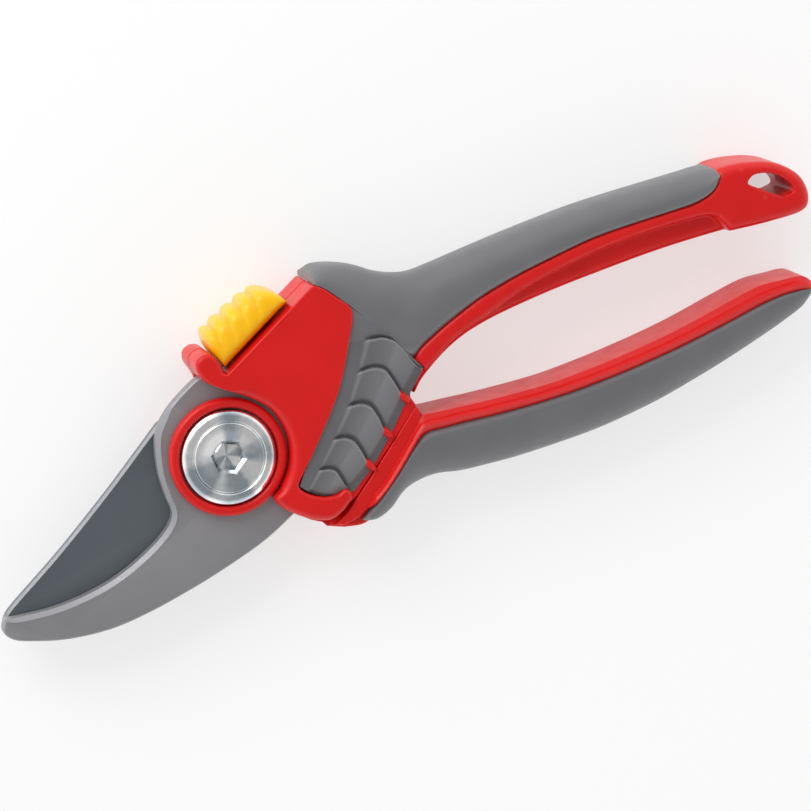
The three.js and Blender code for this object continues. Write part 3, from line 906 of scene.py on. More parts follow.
@dataclass
class Jaws:
    """The hook and the cutting blade."""

    bush_hole: float = 7.3
    hook_edge: float = 1.05
    blade_edge: float = 0.6

    def build(self) -> None:
        """Makes both plates with their ground edges."""
        low, high = level("hook_jaw")
        inside = Smooth(((-63.2, -11.4), (-60, -12.5), (-52, -14.4), (-44, -15.1), (-36, -14.7), (-28, -12.9),
                         (-21, -10.2), (-17.4, -7), (-16.9, -2), (-16, 4), (-13, 11.5), (-8, 15.9), (0, 19.2),
                         (3, 19.4)))
        belly = Smooth(((9.4, -19.6), (0, -22.4), (-10, -24), (-20, -25), (-32, -25.5), (-42, -24.9),
                        (-52, -22.4), (-60, -18.8), (-63.4, -16.6), (-64.7, -14), (-63.2, -11.4)))
        tang = [Corner(6.6, 16.6), Corner(28.4, 25), Corner(40.8, 7.6), Corner(40.6, 2.4), Corner(29, -4.6),
                Corner(15.4, -18.2)]
        outline = closed_outline([inside, *tang, belly], 0.8)
        hook = plate("hook_jaw_plate", outline, low, high, self._hook_edge, 0.3, 1, [(0, 0, self.bush_hole)])
        dress(hook, HOOK_STEEL, Body.HOOK, "hook_jaw")
        self._grind(hook, low, high)

        low, high = level("cutting_blade")
        spine = Smooth(((-63, -12.2), (-60, -10.3), (-45, -3.9), (-30, 3.3), (-20, 8.5), (-11.2, 13.2)))
        head = Smooth(((-6, 14.2), (0, 14.2), (7.1, 12.3), (12.3, 7.1)))
        tang = [Corner(16.5, 3.7), Corner(40.2, -4.3), Corner(36, -15.4), Corner(26, -18)]
        heel = Smooth(((12, -15.2), (4, -13.8), (-4, -13.6), (-10, -12.2), (-14.5, -11.6)))
        edge = Smooth(((-14.5, -11.6), (-24, -15.6), (-34, -18.2), (-44, -18.7), (-54, -16.6), (-61, -13.9),
                       (-63, -12.2)))
        outline = closed_outline([spine, head, *tang, heel, edge], 0.8)
        hole = [(0, 0, self.bush_hole)]
        blade = plate("cutting_blade_plate", outline, low, high, self.blade_edge, 0.8, 1, hole)
        dress(blade, COATED_STEEL, Body.BLADE, "cutting_blade")
        self._grind(blade, low, high)

    def _hook_edge(self, x: float, y: float) -> float:
        """The hook's inner edge is ground wider than its belly."""
        inner = -62 < x < -8 and y > -16
        return self.hook_edge if inner else 0.35

    def _grind(self, jaw: Piece, low: float, high: float) -> None:
        """Gives the bright ground finish to a jaw's sloped front edge.

        Args:
            jaw: the jaw.
            low: height of its back face.
            high: height of its front face.
        """
        jaw.data.materials.append(EDGE_STEEL.material())
        for face in jaw.data.polygons:
            if face.center.z > (low + high) / 2 * MM and 0.2 < face.normal.z < 0.95:
                face.material_index = 1


@dataclass
class Pivot:
    """The bolt, its ring, and what it turns in."""

    bolt_radius: float = 11.3
    ring_inner: float = 11.6
    ring_outer: float = 14.0
    socket: float = 6.0
    socket_depth: float = 3.4
    nut_across: float = 16.0
    bore: float = 5.3

    def build(self) -> None:
        """Makes the turned pieces."""
        self._bolt()
        self._ring()
        self._nut()

    def _bolt(self) -> None:
        """The wide dished head with its step and hex socket, and the shank."""
        low, top = level("pivot_bolt")
        seat = level("pivot_ring")[0]
        r = self.bolt_radius
        profile = rounded_profile([
            (0, low, 0), (5.0, low, 0.3), (5.0, seat, 0), (r, seat, 0.1), (r, top - 1.0, 0.5),
            (r - 1.1, top - 0.25, 0.5), (8.75, top - 0.1, 0.08), (8.45, top - 0.42, 0.08),
            (8.1, top - 0.12, 0.15), (6.6, top - 0.35, 0.8), (3.9, top - 1.15, 0.4), (0, top - 1.25, 0),
        ])
        head = spun("pivot_bolt_head", profile, steps=128, crease_angle=40)
        across = self.socket / 2 / math.cos(math.pi / 6)
        dish = top - 1.2
        well = drum("well", across, dish - self.socket_depth, top + 1, (0, 0), 6)
        flare = drum("flare", across, dish - 0.75, top + 1, (0, 0), 6)
        for vert in flare.data.vertices:
            if vert.co.z > dish * MM:
                vert.co.xy *= 1 + (top + 1.75 - dish) / across
        head = combined(head, [well, flare], "DIFFERENCE")
        weighted(creased(head, 30))
        dress(head, ZINC_STEEL, Body.HOOK, "pivot_bolt")

    def _ring(self) -> None:
        """The half-round plastic ring."""
        low, top = level("pivot_ring")
        a, b = self.ring_inner, self.ring_outer
        turns = [math.pi * k / 10 for k in range(11)]
        arc = [(a + (b - a) * (0.5 - 0.5 * math.cos(turn)), top - 1.0 + math.sin(turn)) for turn in turns]
        ring = spun("pivot_ring_round", [(a, low), *arc, (b, low)], crease_angle=50)
        dress(ring, RED_NYLON, Body.HOOK, "pivot_ring")

    def _nut(self) -> None:
        """The closed nut with its chamfered corners, and the washer under the blade."""
        low, top = level("pivot_nut")
        nut = drum("pivot_nut_hex", self.nut_across / 2 / math.cos(math.pi / 6), low, top, (0, 0), 6)
        flat = self.nut_across / 2
        dome = [(0, low - 1), (flat, low - 1), (flat, low), (9.4, low + 0.9), (9.4, top + 1), (0, top + 1)]
        combined(nut, [spun("dome", dome)], "INTERSECT")
        bore = drum("bore", self.bore, 1.6, top + 1)
        weighted(creased(combined(nut, [bore], "DIFFERENCE"), 20))
        dress(nut, ZINC_STEEL, Body.HOOK, "pivot_nut")
        low, top = level("pivot_washer")
        washer = spun("pivot_washer_round", rounded_profile([
            (self.bore, (low + top) / 2, 0), (self.bore, low, 0.15), (8, low, 0.25), (8, top, 0.25),
            (self.bore, top, 0.15),
        ]))
        dress(washer, ZINC_STEEL, Body.HOOK, "pivot_washer")


PIVOT_ARC = Smooth(((7.8, -12.4), (11.9, -8.4), (14.3, -3), (14.5, 2.2), (13.2, 6.8), (9.8, 11.2),
                    (5.2, 15.8), (3.2, 17.8), (2, 19.4)))
NUB = Smooth(((1.4, 22.2), (2.1, 24.3), (4.2, 25.1), (6.2, 24.3), (7.0, 22.2), (7.1, 20.6)))
LIP_OUTSIDE = Smooth(((22.3, -22), (18.6, -23.7), (15.8, -24.2), (12.6, -22.8), (9.2, -20), (6.2, -16.2),
                      (5.6, -13.6), (7.8, -12.4)))


@dataclass
class Pad:
    """The soft pad let into the cover: five overlapping folded scales, sunk at the housing's edge.

    Args:
        drop: how far it lies under the grip's top.
        depth: how far its underside lies under the grip's top.
        deepest: the lowest its surface goes under the grip's top.
        rear_rise: how much higher its rear edge is.
        rear_sink: how far the rear edge itself dips.
        groove: the groove in front of each scale.
        lift: the height of a scale's crest.
        fall: how far a scale falls from its crest.
        tuck_fall: how much steeper it falls at its low end.
        fold_fall: how far the side falls from the fold to the rim.
        end_fall: how far the rim falls.
        cells: the columns between a ridge's points.
        shares: the places across each scale.
        ridges: the ridges from the rear to the front, each from the left to the right.
    """

    drop: float = 0.4
    depth: float = 2.6
    deepest: float = 1.9
    rear_rise: float = 0.3
    rear_sink: float = 0.7
    groove: float = 0.45
    lift: float = 0.75
    fall: float = 1.15
    tuck_fall: float = 2.0
    fold_fall: float = 1.0
    end_fall: float = 0.9
    cells: tuple[int, ...] = (5, 4, 4, 4, 5, 5)
    shares: tuple[float, ...] = (0.0, 0.03, 0.10, 0.25, 0.4, 0.55, 0.7, 0.84, 0.93, 0.965)
    ridges: tuple[tuple[Point, ...], ...] = (
        ((40.2, 20.8), (41.6, 19.0), (43, 17), (44.4, 14.6), (45.9, 10.8), (47.2, 6.8), (48.8, 2.4)),
        ((36.4, 12.2), (40.9, 11.0), (44.5, 10.0), (46.8, 7.9), (48.0, 4.8), (48.9, 0.6), (50.3, -1.5)),
        ((31.5, 5.6), (36.3, 4.9), (39.6, 4.5), (41.9, 2.8), (42.6, -0.7), (43.0, -4.2), (43.9, -6.4)),
        ((26.0, -0.6), (30.8, -1.4), (33.4, -2.0), (35.2, -3.6), (35.8, -7.2), (35.8, -10.4), (36.7, -12.4)),
        ((20.0, -6.0), (24.4, -7.0), (26.6, -7.7), (28.2, -9.3), (28.8, -12.5), (29.0, -15.4), (29.6, -17.5)),
        ((14.4, -10.8), (18.1, -12.1), (20, -12.7), (21.3, -13.8), (21.7, -16.5), (21.9, -18.8),
         (23.4, -20.6)),
        ((12, -13.4), (13.4, -15.6), (14.6, -17), (16.2, -18.2), (18, -19.2), (19.8, -19.8), (21.6, -20.4)),
    )

    def __post_init__(self) -> None:
        """Counts the columns up to the left end, the fold, the right end and the rim."""
        self.left, self.fold = self.cells[0], sum(self.cells[:3])
        self.right, self.width = sum(self.cells[:5]), sum(self.cells)

    def build(self) -> None:
        """Makes the pad and stores the painted highlight and painted shade of each of its top points."""
        top = level("upper_grip")[1]
        rows = [self._ridge(points) for points in self.ridges]
        last = len(rows) - 2
        stations = [(k, share) for k in range(last + 1) for share in self.shares] + [(last, 1.0)]
        around = 2 * (self.width + 1)

        def place(along: float, share: float) -> Sequence[float]:
            """A point of the pad: the scales on top, then down and under.

            Args:
                along: 0 to 1 from the rear to the front.
                share: 0 to 1 round the pad.

            Returns:
                The point in millimetres.
            """
            row, part = stations[round(along * (len(stations) - 1))]
            column = round(share * around)
            below = column > self.width
            column = min(max(around - 1 - column if below else column, 0), self.width)
            height = -self.depth if below else self._height(row, part, column)
            return *rows[row][column].lerp(rows[row + 1][column], part), top + height

        pad = creased(skin("upper_grip_pad", place, len(stations), around), 60)
        # Each top point stores its painted highlight as a value above 0 and its painted shade as a value
        # below 0.
        pad_painted_light = pad.data.attributes.new("pad_painted_light", "FLOAT", "POINT")
        for i, (row, part) in enumerate(stations):
            for column in range(self.width + 1):
                pad_painted_light.data[i * around + column].value = self._pad_light_and_shade(row, part, column)
        dress(pad, GREY_RUBBER, Body.HOOK)

    def _ridge(self, points: Sequence[Point]) -> list[Vector]:
        """One ridge with its columns.

        Args:
            points: its points from the left to the right.

        Returns:
            The columns' places, with the ridge's bends relaxed.
        """
        spots = [Vector(points[0])]
        for a, b, count in zip(points, points[1:], self.cells):
            spots += [Vector(a).lerp(Vector(b), k / count) for k in range(1, count + 1)]
        for _ in range(2):
            middle = [(a + 2 * b + c) / 4 for a, b, c in zip(spots, spots[1:], spots[2:])]
            spots = [spots[0], *middle, spots[-1]]
        return spots

    def _height(self, row: int, part: float, column: int) -> float:
        """How high the pad stands.

        Args:
            row: the scale.
            part: 0 to 1 across the scale.
            column: the column.

        Returns:
            The height over the grip's top, in millimetres.
        """
        plain = -self.drop
        if row == 0:
            plain += self.rear_rise * (1 - part) - self.rear_sink * ramp(part, 0.2, 0)
            crest = plain - self.groove * ramp(part, 0.85, 1)
        elif part < self.shares[1]:
            crest = plain - self.groove
        else:
            crest = plain + self.lift - self.fall * part - self.tuck_fall * max(part - 0.9, 0)
        height = plain + (crest - plain) * ramp(column, self.left - 0.5, self.left + 1)
        if row:
            height -= self.fold_fall * max(column - self.fold, 0) / (self.right - self.fold)
            height -= self.end_fall * max(column - self.right, 0) / (self.width - self.right)
        return max(height, -self.deepest)

    def _pad_light_and_shade(self, row: int, part: float, column: int) -> float:
        """The painted light on the pad: a painted highlight on its lit facets and riser edges, painted shade
        in its grooves, on its shaded facets and on its end band.

        Args:
            row: the scale.
            part: 0 to 1 across the scale.
            column: the column.

        Returns:
            Above 0 for a painted highlight, below 0 for painted shade.
        """
        if row == 0:
            return -0.8 * ramp(part, 0.85, 1) if column >= self.left else 0.0
        if column < self.left:
            return -0.15
        if not self.shares[1] <= part <= 0.92:
            return -0.75 if column < self.right else -0.4
        if part == self.shares[1]:
            return 0.55
        if column > self.right:
            return -0.38
        if column > self.fold:
            return 0.42 - 0.30 * (column - self.fold) / (self.right - self.fold)
        if column == self.left:
            return 0.35
        return -0.12 + 0.3 * (column - self.left) / (self.fold - self.left)


@dataclass
class UpperLever:
    """The housing, cover, pad and upper handle."""

    grip_bulge: float = 2.5
    wall_gap: float = 3.8
    skin_cell: float = 0.42
    tooth_sink: float = 1.9
    tooth_half: tuple[float, float] = (0.95, 1.5)
    teeth: tuple[tuple[Point, Point], ...] = (
        ((42.5, -4.0), (44.0, -7.2)), ((35.4, -10.0), (36.8, -12.9)), ((28.6, -15.0), (29.9, -18.1)),
    )

    def build(self) -> None:
        """Makes the cover, the core, the grip with its pad, and the screws."""
        self._cover()
        self._core()
        self._grip()
        Pad().build()
        self._screws()

    def _cover(self) -> None:
        """The red cover: a raised face, its lip round the pad, and the floor under the pad."""
        low, high = level("front_cover")
        face = closed_outline([
            PIVOT_ARC, NUB, Corner(7.2, 18.3, 0.8), Corner(34.6, 28.6, 1.2),
            Smooth(((36.6, 26.3), (38.7, 22.8), (40.2, 20.2), (40.2, 18.2), (38, 14.5), (30, 3.5), (20, -5.9),
                    (15, -10), (12.2, -12.4), (11.8, -13.8), (13.4, -16.2), (16.2, -18.3), (19.2, -19.2),
                    (21.4, -18.8), (22.6, -20.2))),
            LIP_OUTSIDE,
        ], 0.8)
        cover = plate("front_cover_face", face, low, high, self._cover_edge, 0.3, 6)
        floor = closed_outline([
            Corner(14, -12), Corner(38, 20), Corner(43.4, 12), Corner(48.2, 2), Corner(49.2, -2.2, 0.8),
            Corner(44.7, -6.0, 1), Corner(45.3, -9.0, 0.6), Corner(22.9, -22.55, 1), Corner(16, -21),
        ])
        seat = plate("seat", floor, low, high - 2.5, 0.3, 0.3, 3)
        joined(cover, seat, *(self._tooth(*ends) for ends in self.teeth))
        dress(cover, RED_NYLON, Body.HOOK, "front_cover")

    def _cover_edge(self, x: float, y: float) -> float:
        """The rounding of the cover's front edge: full beside the pivot and on the lip, crisp elsewhere.

        Args:
            x: the plan point's place along the shears.
            y: the plan point's place across them.

        Returns:
            The radius in millimetres.
        """
        if y > 18 and x < 7.2:
            return 1.3
        if math.hypot(x, y) < 15.4 and y > -12.6:
            return 2.3
        outside_lip = y < -0.75 * x - 9.3 or (x > 20 and y < -20.5)
        if y < -12.6 and outside_lip:
            return 2.0
        if y < -13 and x < 23:
            return 1.0
        return 0.4

    def _core(self) -> None:
        """The red back half, the handle's rim and spine, and the end with the hanging eye."""
        low, high = level("upper_core")
        split = level("cutting_blade")[1]
        wall = level("cutting_blade")[0] - self.wall_gap
        back = closed_outline([
            Smooth(((-12, -8), (-14.4, 0), (-12, 8), (-8, 12), (0, 14.6), (2, 17), (2, 19.4))),
            NUB, Corner(7.2, 18.3), Corner(34.6, 28.6), Corner(43.4, 12), Corner(48.4, 2), Corner(49.5, -2),
            Corner(45, -8.4), LIP_OUTSIDE, Smooth(((4, -13.9), (-6, -13.2), (-12, -8))),
        ])
        core = plate("upper_core_moulding", back, 0.6, wall, 0.3, 0.5, 3, [(0, 0, 9.6)])
        frame_block = closed_outline([
            Corner(15.2, 6.2), Smooth(((13, 8.5), (9.8, 11.6), (5.2, 15.8), (3.2, 17.8), (2, 19.4))), NUB,
            Corner(7.2, 18.3), Corner(34.6, 28.6), Corner(43.4, 12), Corner(48.4, 2), Corner(49.5, -2),
            Corner(46.2, -5.2),
        ])
        block = plate("block", frame_block, 0.6, split, 0.3, 0.5, 3)
        rim_top = ((48.9, 2.2), (55, 4.6), (60, 6), (65, 7.1), (70, 8), (80, 8.8), (90, 8.9), (100, 8.7),
                   (110, 7.5), (120, 6), (126, 5.2), (131, 6), (134, 9))
        rim_low = ((136, -5.2), (130, -0.9), (127, 1), (120, 2.5), (110, 4.1), (100, 5), (90, 5.2), (80, 4.8),
                   (70, 3.3), (60, 1.6), (52, -1.6), (47.6, -5.6))
        spine_low = ((136, -6.5), (130, -5), (115, -2.5), (100, -0.8), (85, 0.5), (70, 0.9), (60, -0.4),
                     (50.5, -4.2), (46.2, -7.4))
        rim = closed_outline([Smooth(rim_top), Smooth(rim_low)])
        spine = closed_outline([Smooth(rim_top), Smooth(spine_low)])
        end = closed_outline([
            Corner(128, 2), Smooth(((130, 5.6), (132.6, 7.6), (134, 9.7), (140, 8.6), (147, 5.4), (151.2, 1),
                                    (152.5, -3), (151.8, -6.8), (149, -8.7), (140, -7.3), (131, -5.2))),
        ])
        eye = closed_outline([
            Smooth(((140, -3), (138.8, 2.6), (141, 4.8), (144.3, 4), (147.2, 1.8), (148.9, -1), (149, -3))),
        ])
        face_low = (*rim_low[:-2], (54, -0.9), (50.6, -2.2))
        face_rim = closed_outline([Smooth(((48.8, 1.2), (51, 3.2), *rim_top[1:])), Smooth(face_low)])
        front = plate("front", face_rim, 13.6, high - 0.15, 1.5, 0.8)
        rear = plate("rear", rim, 0.15, 5.4, 0.8, 1.5)
        middle = plate("middle", spine, 4.0, 15.0, 2.2, 2.2)
        tip = plate("tip", end, 0.1, high - 0.1, 2.6, 2.6, 6)
        hole = plate("hole", eye, -1, high + 1, 0, 0)
        combined(core, [block, front, rear, middle, tip], "UNION")
        combined(core, [hole], "DIFFERENCE")
        melted(core, self.skin_cell, 3)
        dress(core, RED_NYLON, Body.HOOK, "upper_core")

    def _grip(self) -> None:
        """The soft grip over the hump and along the outside of the handle."""
        high = level("upper_core")[1]
        inner = ((34.9, 28.2), (36.9, 25.6), (39.8, 20.2), (42.2, 15.6), (44.2, 11.8), (46.2, 7), (48.3, 2),
                 (53, 3.6), (60, 5.6), (70, 7.6), (80, 8.4), (90, 8.5), (100, 8.3), (110, 7.1), (120, 5.6),
                 (126, 4.9), (130.8, 5.6), (133.6, 8.2))
        outer = ((35.4, 30.2), (38, 30.9), (41.6, 29.6), (44.6, 27.9), (47.4, 25.8), (50.2, 23.2), (53.6, 21),
                 (57.4, 19.4), (62, 18.8), (70, 18.3), (80, 17.7), (90, 16.9), (100, 15.9), (110, 14.4),
                 (120, 12.7), (127, 11.5), (131, 10.8), (133.9, 9.9))

        def section(_: float, share: float) -> Point:
            """The same section all along."""
            return grip_section(share, 0.0, high, self.grip_bulge)

        dress(sleeve("upper_grip_sleeve", inner, outer, section), GREY_RUBBER, Body.HOOK, "upper_grip")

    def _tooth(self, tip: Point, root: Point) -> Piece:
        """One small red tooth of the cover, a long drop that sinks into the pad's edge.

        Args:
            tip: its upper end in plan.
            root: its lower end in plan.

        Returns:
            The new object.
        """
        bm = bmesh.new()
        bmesh.ops.create_uvsphere(bm, u_segments=24, v_segments=14, radius=1.0)
        run = Vector(root) - Vector(tip)
        spot = (*(Vector(tip) + Vector(root)) / 2 * MM, (level("upper_grip")[1] - self.tooth_sink) * MM)
        half = (run.length / 2 + 0.5, *self.tooth_half)
        bmesh.ops.scale(bm, verts=bm.verts, vec=[size * MM for size in half])
        bmesh.ops.rotate(bm, verts=bm.verts, matrix=Matrix.Rotation(math.atan2(run.y, run.x), 3, "Z"))
        bmesh.ops.translate(bm, verts=bm.verts, vec=spot)
        return new_object("tooth", bm, 80)

    def _screws(self) -> None:
        """The four cover screws, seen from the back, each with a six-point recess."""
        for k in range(1, 5):
            node = f"cover_screw_{k}"
            place, (bottom, top) = middle_of(node), level(node)
            profile = rounded_profile([(0, bottom, 0), (2.4, bottom, 0.3), (2.4, bottom + 1.2, 0.2),
                                       (1.25, bottom + 1.3, 0.1), (1.25, top, 0.2), (0, top, 0)])
            screw = spun(node + "_painted_reflections", profile, place, 40)
            recess = [drum("recess", 1.1, bottom - 1, bottom + 0.9, place, 6)]
            weighted(creased(combined(screw, recess, "DIFFERENCE"), 30))
            dress(screw, ZINC_STEEL, Body.HOOK, node)


def grip_section(round_share: float, low: float, high: float, bulge: float) -> tuple[float, float]:
    """A grip's section: a flat seam side, and a full rounded outer side.

    Args:
        round_share: 0 to 1 round the section.
        low: height of its back.
        high: height of its front.
        bulge: the power of the rounding; 2 is an ellipse and more is squarer.

    Returns:
        The share across, and the height in millimetres.
    """
    middle, half = (low + high) / 2, (high - low) / 2
    outer_part, seam_round = 0.8, 0.03
    if round_share <= outer_part:
        angle = math.pi * (round_share / outer_part - 0.5)
        across = math.cos(angle) ** (2 / bulge) if abs(math.cos(angle)) > 1e-9 else 0.0
        rise = math.copysign(abs(math.sin(angle)) ** (2 / bulge), math.sin(angle))
        return seam_round + (1 - seam_round) * across, middle + rise * half
    share = (round_share - outer_part) / (1 - outer_part)
    return 0.0, middle + half * (1 - 2 * share) * 0.965


@dataclass
class LowerLever:
    """The moving head and the lower handle."""

    grip_bulge: float = 2.5
    rivet_rise: float = 0.12
    blade_room: float = 0.3
    tongue_low: float = 3.4
    handle_middle: float = 9.4
    grip_middle: float = 9.25

    def build(self) -> None:
        """Makes the core, the grip and the blade's rivets."""
        self._core()
        self._grip()
        self._rivets()

    def _core(self) -> None:
        """The red head and its ledge, the tongue behind the blade, and the handle's inner half."""
        high = level("lower_core")[1]
        blade_low, blade_top = level("cutting_blade")
        head = closed_outline([
            Corner(46, -12), Corner(45.3, -9.3, 0.5), Corner(22.6, -23.0),
            Smooth(((19, -24.6), (15.8, -25.0))), Corner(14.4, -25.9),
            Smooth(((18, -28), (22, -29.3), (25, -28.8), (30, -25.6), (36, -21.6), (42, -17.8), (46, -16.4))),
        ])
        ledge = closed_outline([
            Smooth(((45.3, -9.4), (44.9, -12.0), (42.0, -15.6), (36, -20.6), (31.5, -23.2), (25.0, -25.9),
                    (21, -26.9), (17.6, -26.9))),
            Smooth(((16.2, -25.9), (19.6, -24.6), (22.8, -22.8), (33, -16.6), (44.6, -9.2))),
        ])
        tongue = closed_outline([
            Corner(12.6, 4.4), Corner(45.6, -6.6), Corner(44.6, -14), Corner(30, -24), Corner(15, -24),
            Corner(11, -21.4), Corner(8.6, -16), Smooth(((10.6, -7), (12.7, -1))),
        ])
        chin = closed_outline([
            Corner(19, -28.2), Smooth(((18, -28), (15, -26.3), (12, -24), (9.6, -21.2))), Corner(9, -17),
            Corner(22, -17), Corner(24, -27),
        ])
        slot = closed_outline([
            Corner(0, 14), Corner(16.5, 4.2), Corner(40.8, -3.9), Corner(36.4, -15.9), Corner(26, -18.5),
            Corner(12, -15.8), Corner(0, -14),
        ])
        core = plate("lower_core_head", head, 0.6, high - 3.4, 0.7, 1.0)
        chin_plate = plate("chin", chin, self.tongue_low, blade_top - 0.1, 0.3, 0.3, 2)
        for solid in (core, chin_plate):
            room = plate("slot", slot, blade_low - self.blade_room, blade_top + self.blade_room, 0, 0)
            creased(combined(solid, [room], "DIFFERENCE"))
        ledge_plate = plate("ledge", ledge, 12, high - 1.6, 0.35, 0.1, 3)
        tongue_plate = plate("tongue", tongue, self.tongue_low, blade_low - self.blade_room, 0.2, 0.2, 2)
        joined(core, ledge_plate, tongue_plate, chin_plate)
        weighted(creased(core))
        dress(core, RED_NYLON, Body.BLADE, "lower_core")
        self._handle(high)

    def _handle(self, high: float) -> None:
        """The inner half of the handle: a tall smooth wall with a bead along each long edge.

        Args:
            high: height of its front.
        """
        wall = ((24.2, -24.4), (30, -22.0), (35, -18.7), (40, -15.2), (43.2, -12.9), (45.4, -11.7),
                (49, -12.6), (54, -13.8), (60, -15.3), (70, -17.5), (80, -19.2), (95, -20.5), (110, -21),
                (124, -20.5), (132, -20.4), (138, -21.6), (142.8, -22.9), (144.9, -25.6))
        border = ((23.8, -27.4), (30, -24.6), (35, -21.7), (40, -18.3), (42.6, -16.6), (45.0, -16.0),
                  (49.4, -16.9), (54.4, -17.9), (61, -19.5), (71, -21.6), (80.6, -23.1), (95, -24.6),
                  (109, -25.2), (122, -25.2), (130, -24.9), (136, -25.1), (141, -26.1), (143.8, -27.3))
        front = high - 0.15
        outline = closed_outline([
            Corner(0.0, 2.2, 1.0), Corner(0.0, front - 1.7, 0.5), Corner(0.22, front - 1.35, 0.2),
            Smooth(((0.27, front - 1.3), (0.36, front - 0.45), (0.55, front), (0.75, front - 0.35),
                    (0.92, front - 1.1))),
            Corner(1.0, front - 1.6), Corner(1.0, 1.6),
            Smooth(((0.92, 1.1), (0.75, 0.5), (0.55, 0.2), (0.36, 0.6), (0.2, 1.2))),
        ], 0.4)

        def section(along: float, share: float) -> Point:
            """The section, drawn in towards both ends.

            Args:
                along: 0 to 1 from the head to the handle's end.
                share: 0 to 1 round the section.

            Returns:
                The share across, and the height in millimetres.
            """
            across, height = along_polygon(outline, share)
            rise, end = eased(along / 0.035), eased((1 - along) / 0.03)
            squeeze = (0.90 + 0.10 * end) * (0.80 + 0.20 * rise)
            across = 0.5 + (across - 0.5) * (0.25 + 0.75 * rise)
            return across, self.handle_middle + (height - self.handle_middle) * squeeze

        handle = sleeve("lower_core_handle", wall, border, section, 150, 72)
        dress(creased(handle, 28), RED_NYLON, Body.BLADE)

    def _grip(self) -> None:
        """The soft grip along the outside of the lower handle and round the heel of the head."""
        high = level("lower_core")[1] - 0.5
        inner = ((22.4, -27.9), (25.4, -26.5), (30, -23.9), (35, -21.0), (40, -17.6), (44.6, -15.5),
                 (50, -16.4), (57, -17.9), (65, -19.7), (80, -22.3), (90, -23.3), (100, -24.0), (110, -24.4),
                 (120, -24.4), (130, -24.2), (136, -24.4), (140, -25.2), (143.6, -26.2))
        outer = ((22.6, -28.7), (26.2, -30.3), (30.4, -29.6), (34, -27.6), (38, -26.9), (43.5, -27.4),
                 (49.4, -29.5), (57, -31.3), (65, -32.9), (80, -35), (90, -35.7), (100, -35.8), (110, -35.2),
                 (120, -34.3), (130, -33), (136, -32), (141, -30.7), (144.4, -27.9))

        def section(along: float, share: float) -> Point:
            """The grip's section, drawn in towards the heel."""
            across, height = grip_section(share, 0.0, high, self.grip_bulge)
            squeeze = 0.75 + 0.25 * eased(along / 0.03)
            return across, self.grip_middle + (height - self.grip_middle) * squeeze

        dress(sleeve("lower_grip_sleeve", inner, outer, section), GREY_RUBBER, Body.BLADE, "lower_grip")

    def _rivets(self) -> None:
        """The two blade rivets, each with a low set head on the blade's face."""
        for k in (1, 2):
            node = f"blade_rivet_{k}"
            low, high = extent(node)
            radius, bottom, top = (high[0] - low[0]) / 2, low[2], high[2] + self.rivet_rise
            corners = [(0, bottom, 0), (radius, bottom, 0.2), (radius, top, 0.35), (0, top, 0)]
            rivet = spun(node + "_set", rounded_profile(corners), middle_of(node), 40)
            dress(rivet, ZINC_STEEL, Body.BLADE, node)


@dataclass
class Lock:
    """The ribbed thumb slider, drawn along and off the head's top edge."""

    origin: Point = (10.2, 19.4)
    angle: float = 21.0
    start: float = -1.7
    length: float = 20.8
    height: float = 9.6
    ribs: int = 5
    rib_height: float = 1.15
    rib_slant: float = 0.45
    side_inset: float = 1.7
    squareness: float = 0.62
    foot: float = 0.35
    stem: tuple[Point, ...] = ((4.0, -7.0), (14.0, -7.0), (14.0, 1.0), (4.0, 1.0))

    def build(self) -> None:
        """Makes the slider and the stem that reaches to the latch."""
        thumb = skin("lock_slider_thumb", self._surface, 150, 96)
        stem = closed_outline([Corner(*self._plan(*corner)) for corner in self.stem])
        latch_top = level("lock_latch")[1]
        combined(thumb, [plate("stem", stem, latch_top + 0.3, latch_top + 1.5, 0, 0)], "UNION")
        dress(creased(thumb, 60), YELLOW_NYLON, Body.LOCK, "lock_slider")

    def _crown(self, share: float) -> float:
        """The crown's height along the slider, with full round ends.

        Args:
            share: 0 to 1 along the slider.

        Returns:
            The height in millimetres.
        """
        fall = 1 - 0.22 * share**2
        end = min(share / 0.14, (1 - share) / 0.20, 1.0)
        return self.height * fall * (0.30 + 0.70 * math.sqrt(max(1 - (1 - end) ** 2, 0)))

    def _surface(self, along: float, share: float) -> Sequence[float]:
        """A point of the slider's skin.

        Args:
            along: 0 to 1 from the nub to the handle.
            share: 0 to 1 round the section.

        Returns:
            The point in millimetres.
        """
        share_along = 0.5 - 0.5 * math.cos(math.pi * along)
        top = level("front_cover")[1] - self.side_inset
        middle, half = (top + 0.6 + self.side_inset) / 2, (top - 0.6 - self.side_inset) / 2
        squeeze = max(1 - (2 * share_along - 1) ** 10, 0.0) ** 0.5
        turn = math.tau * share
        c, s = math.cos(turn), math.sin(turn)
        out = math.copysign(abs(c) ** self.squareness, c)
        rise = math.copysign(abs(s) ** self.squareness, s)
        crown = self._crown(share_along)
        off = self.foot + (crown - self.foot) * (0.5 + 0.5 * out)
        inset = 0.12 * half * max(0.5 + 0.5 * out, 0) ** 2
        height = middle + rise * (half - inset) * (0.86 + 0.14 * squeeze)
        slant = self.rib_slant * (crown - off) / self.length
        phase = (share_along + slant - 0.03) * self.ribs / 0.94
        strength = max(0.0, (off - 0.32 * crown) / (0.68 * crown)) ** 0.8
        inside = min(ramp(share_along, 0.05, 0.13), ramp(share_along, 0.9, 0.8))
        rib = (abs(math.sin(math.pi * phase)) ** 0.75 - 0.75) * self.rib_height * strength * inside
        off += rib * max(out, 0) ** 0.5
        height += rib * rise * 0.9
        return *self._plan(self.start + share_along * self.length, max(off, self.foot)), height

    def _plan(self, along: float, off: float) -> Point:
        """A plan point from its place along and off the head's top edge."""
        turn = math.radians(self.angle)
        return (self.origin[0] + along * math.cos(turn) - off * math.sin(turn),
                self.origin[1] + along * math.sin(turn) + off * math.cos(turn))


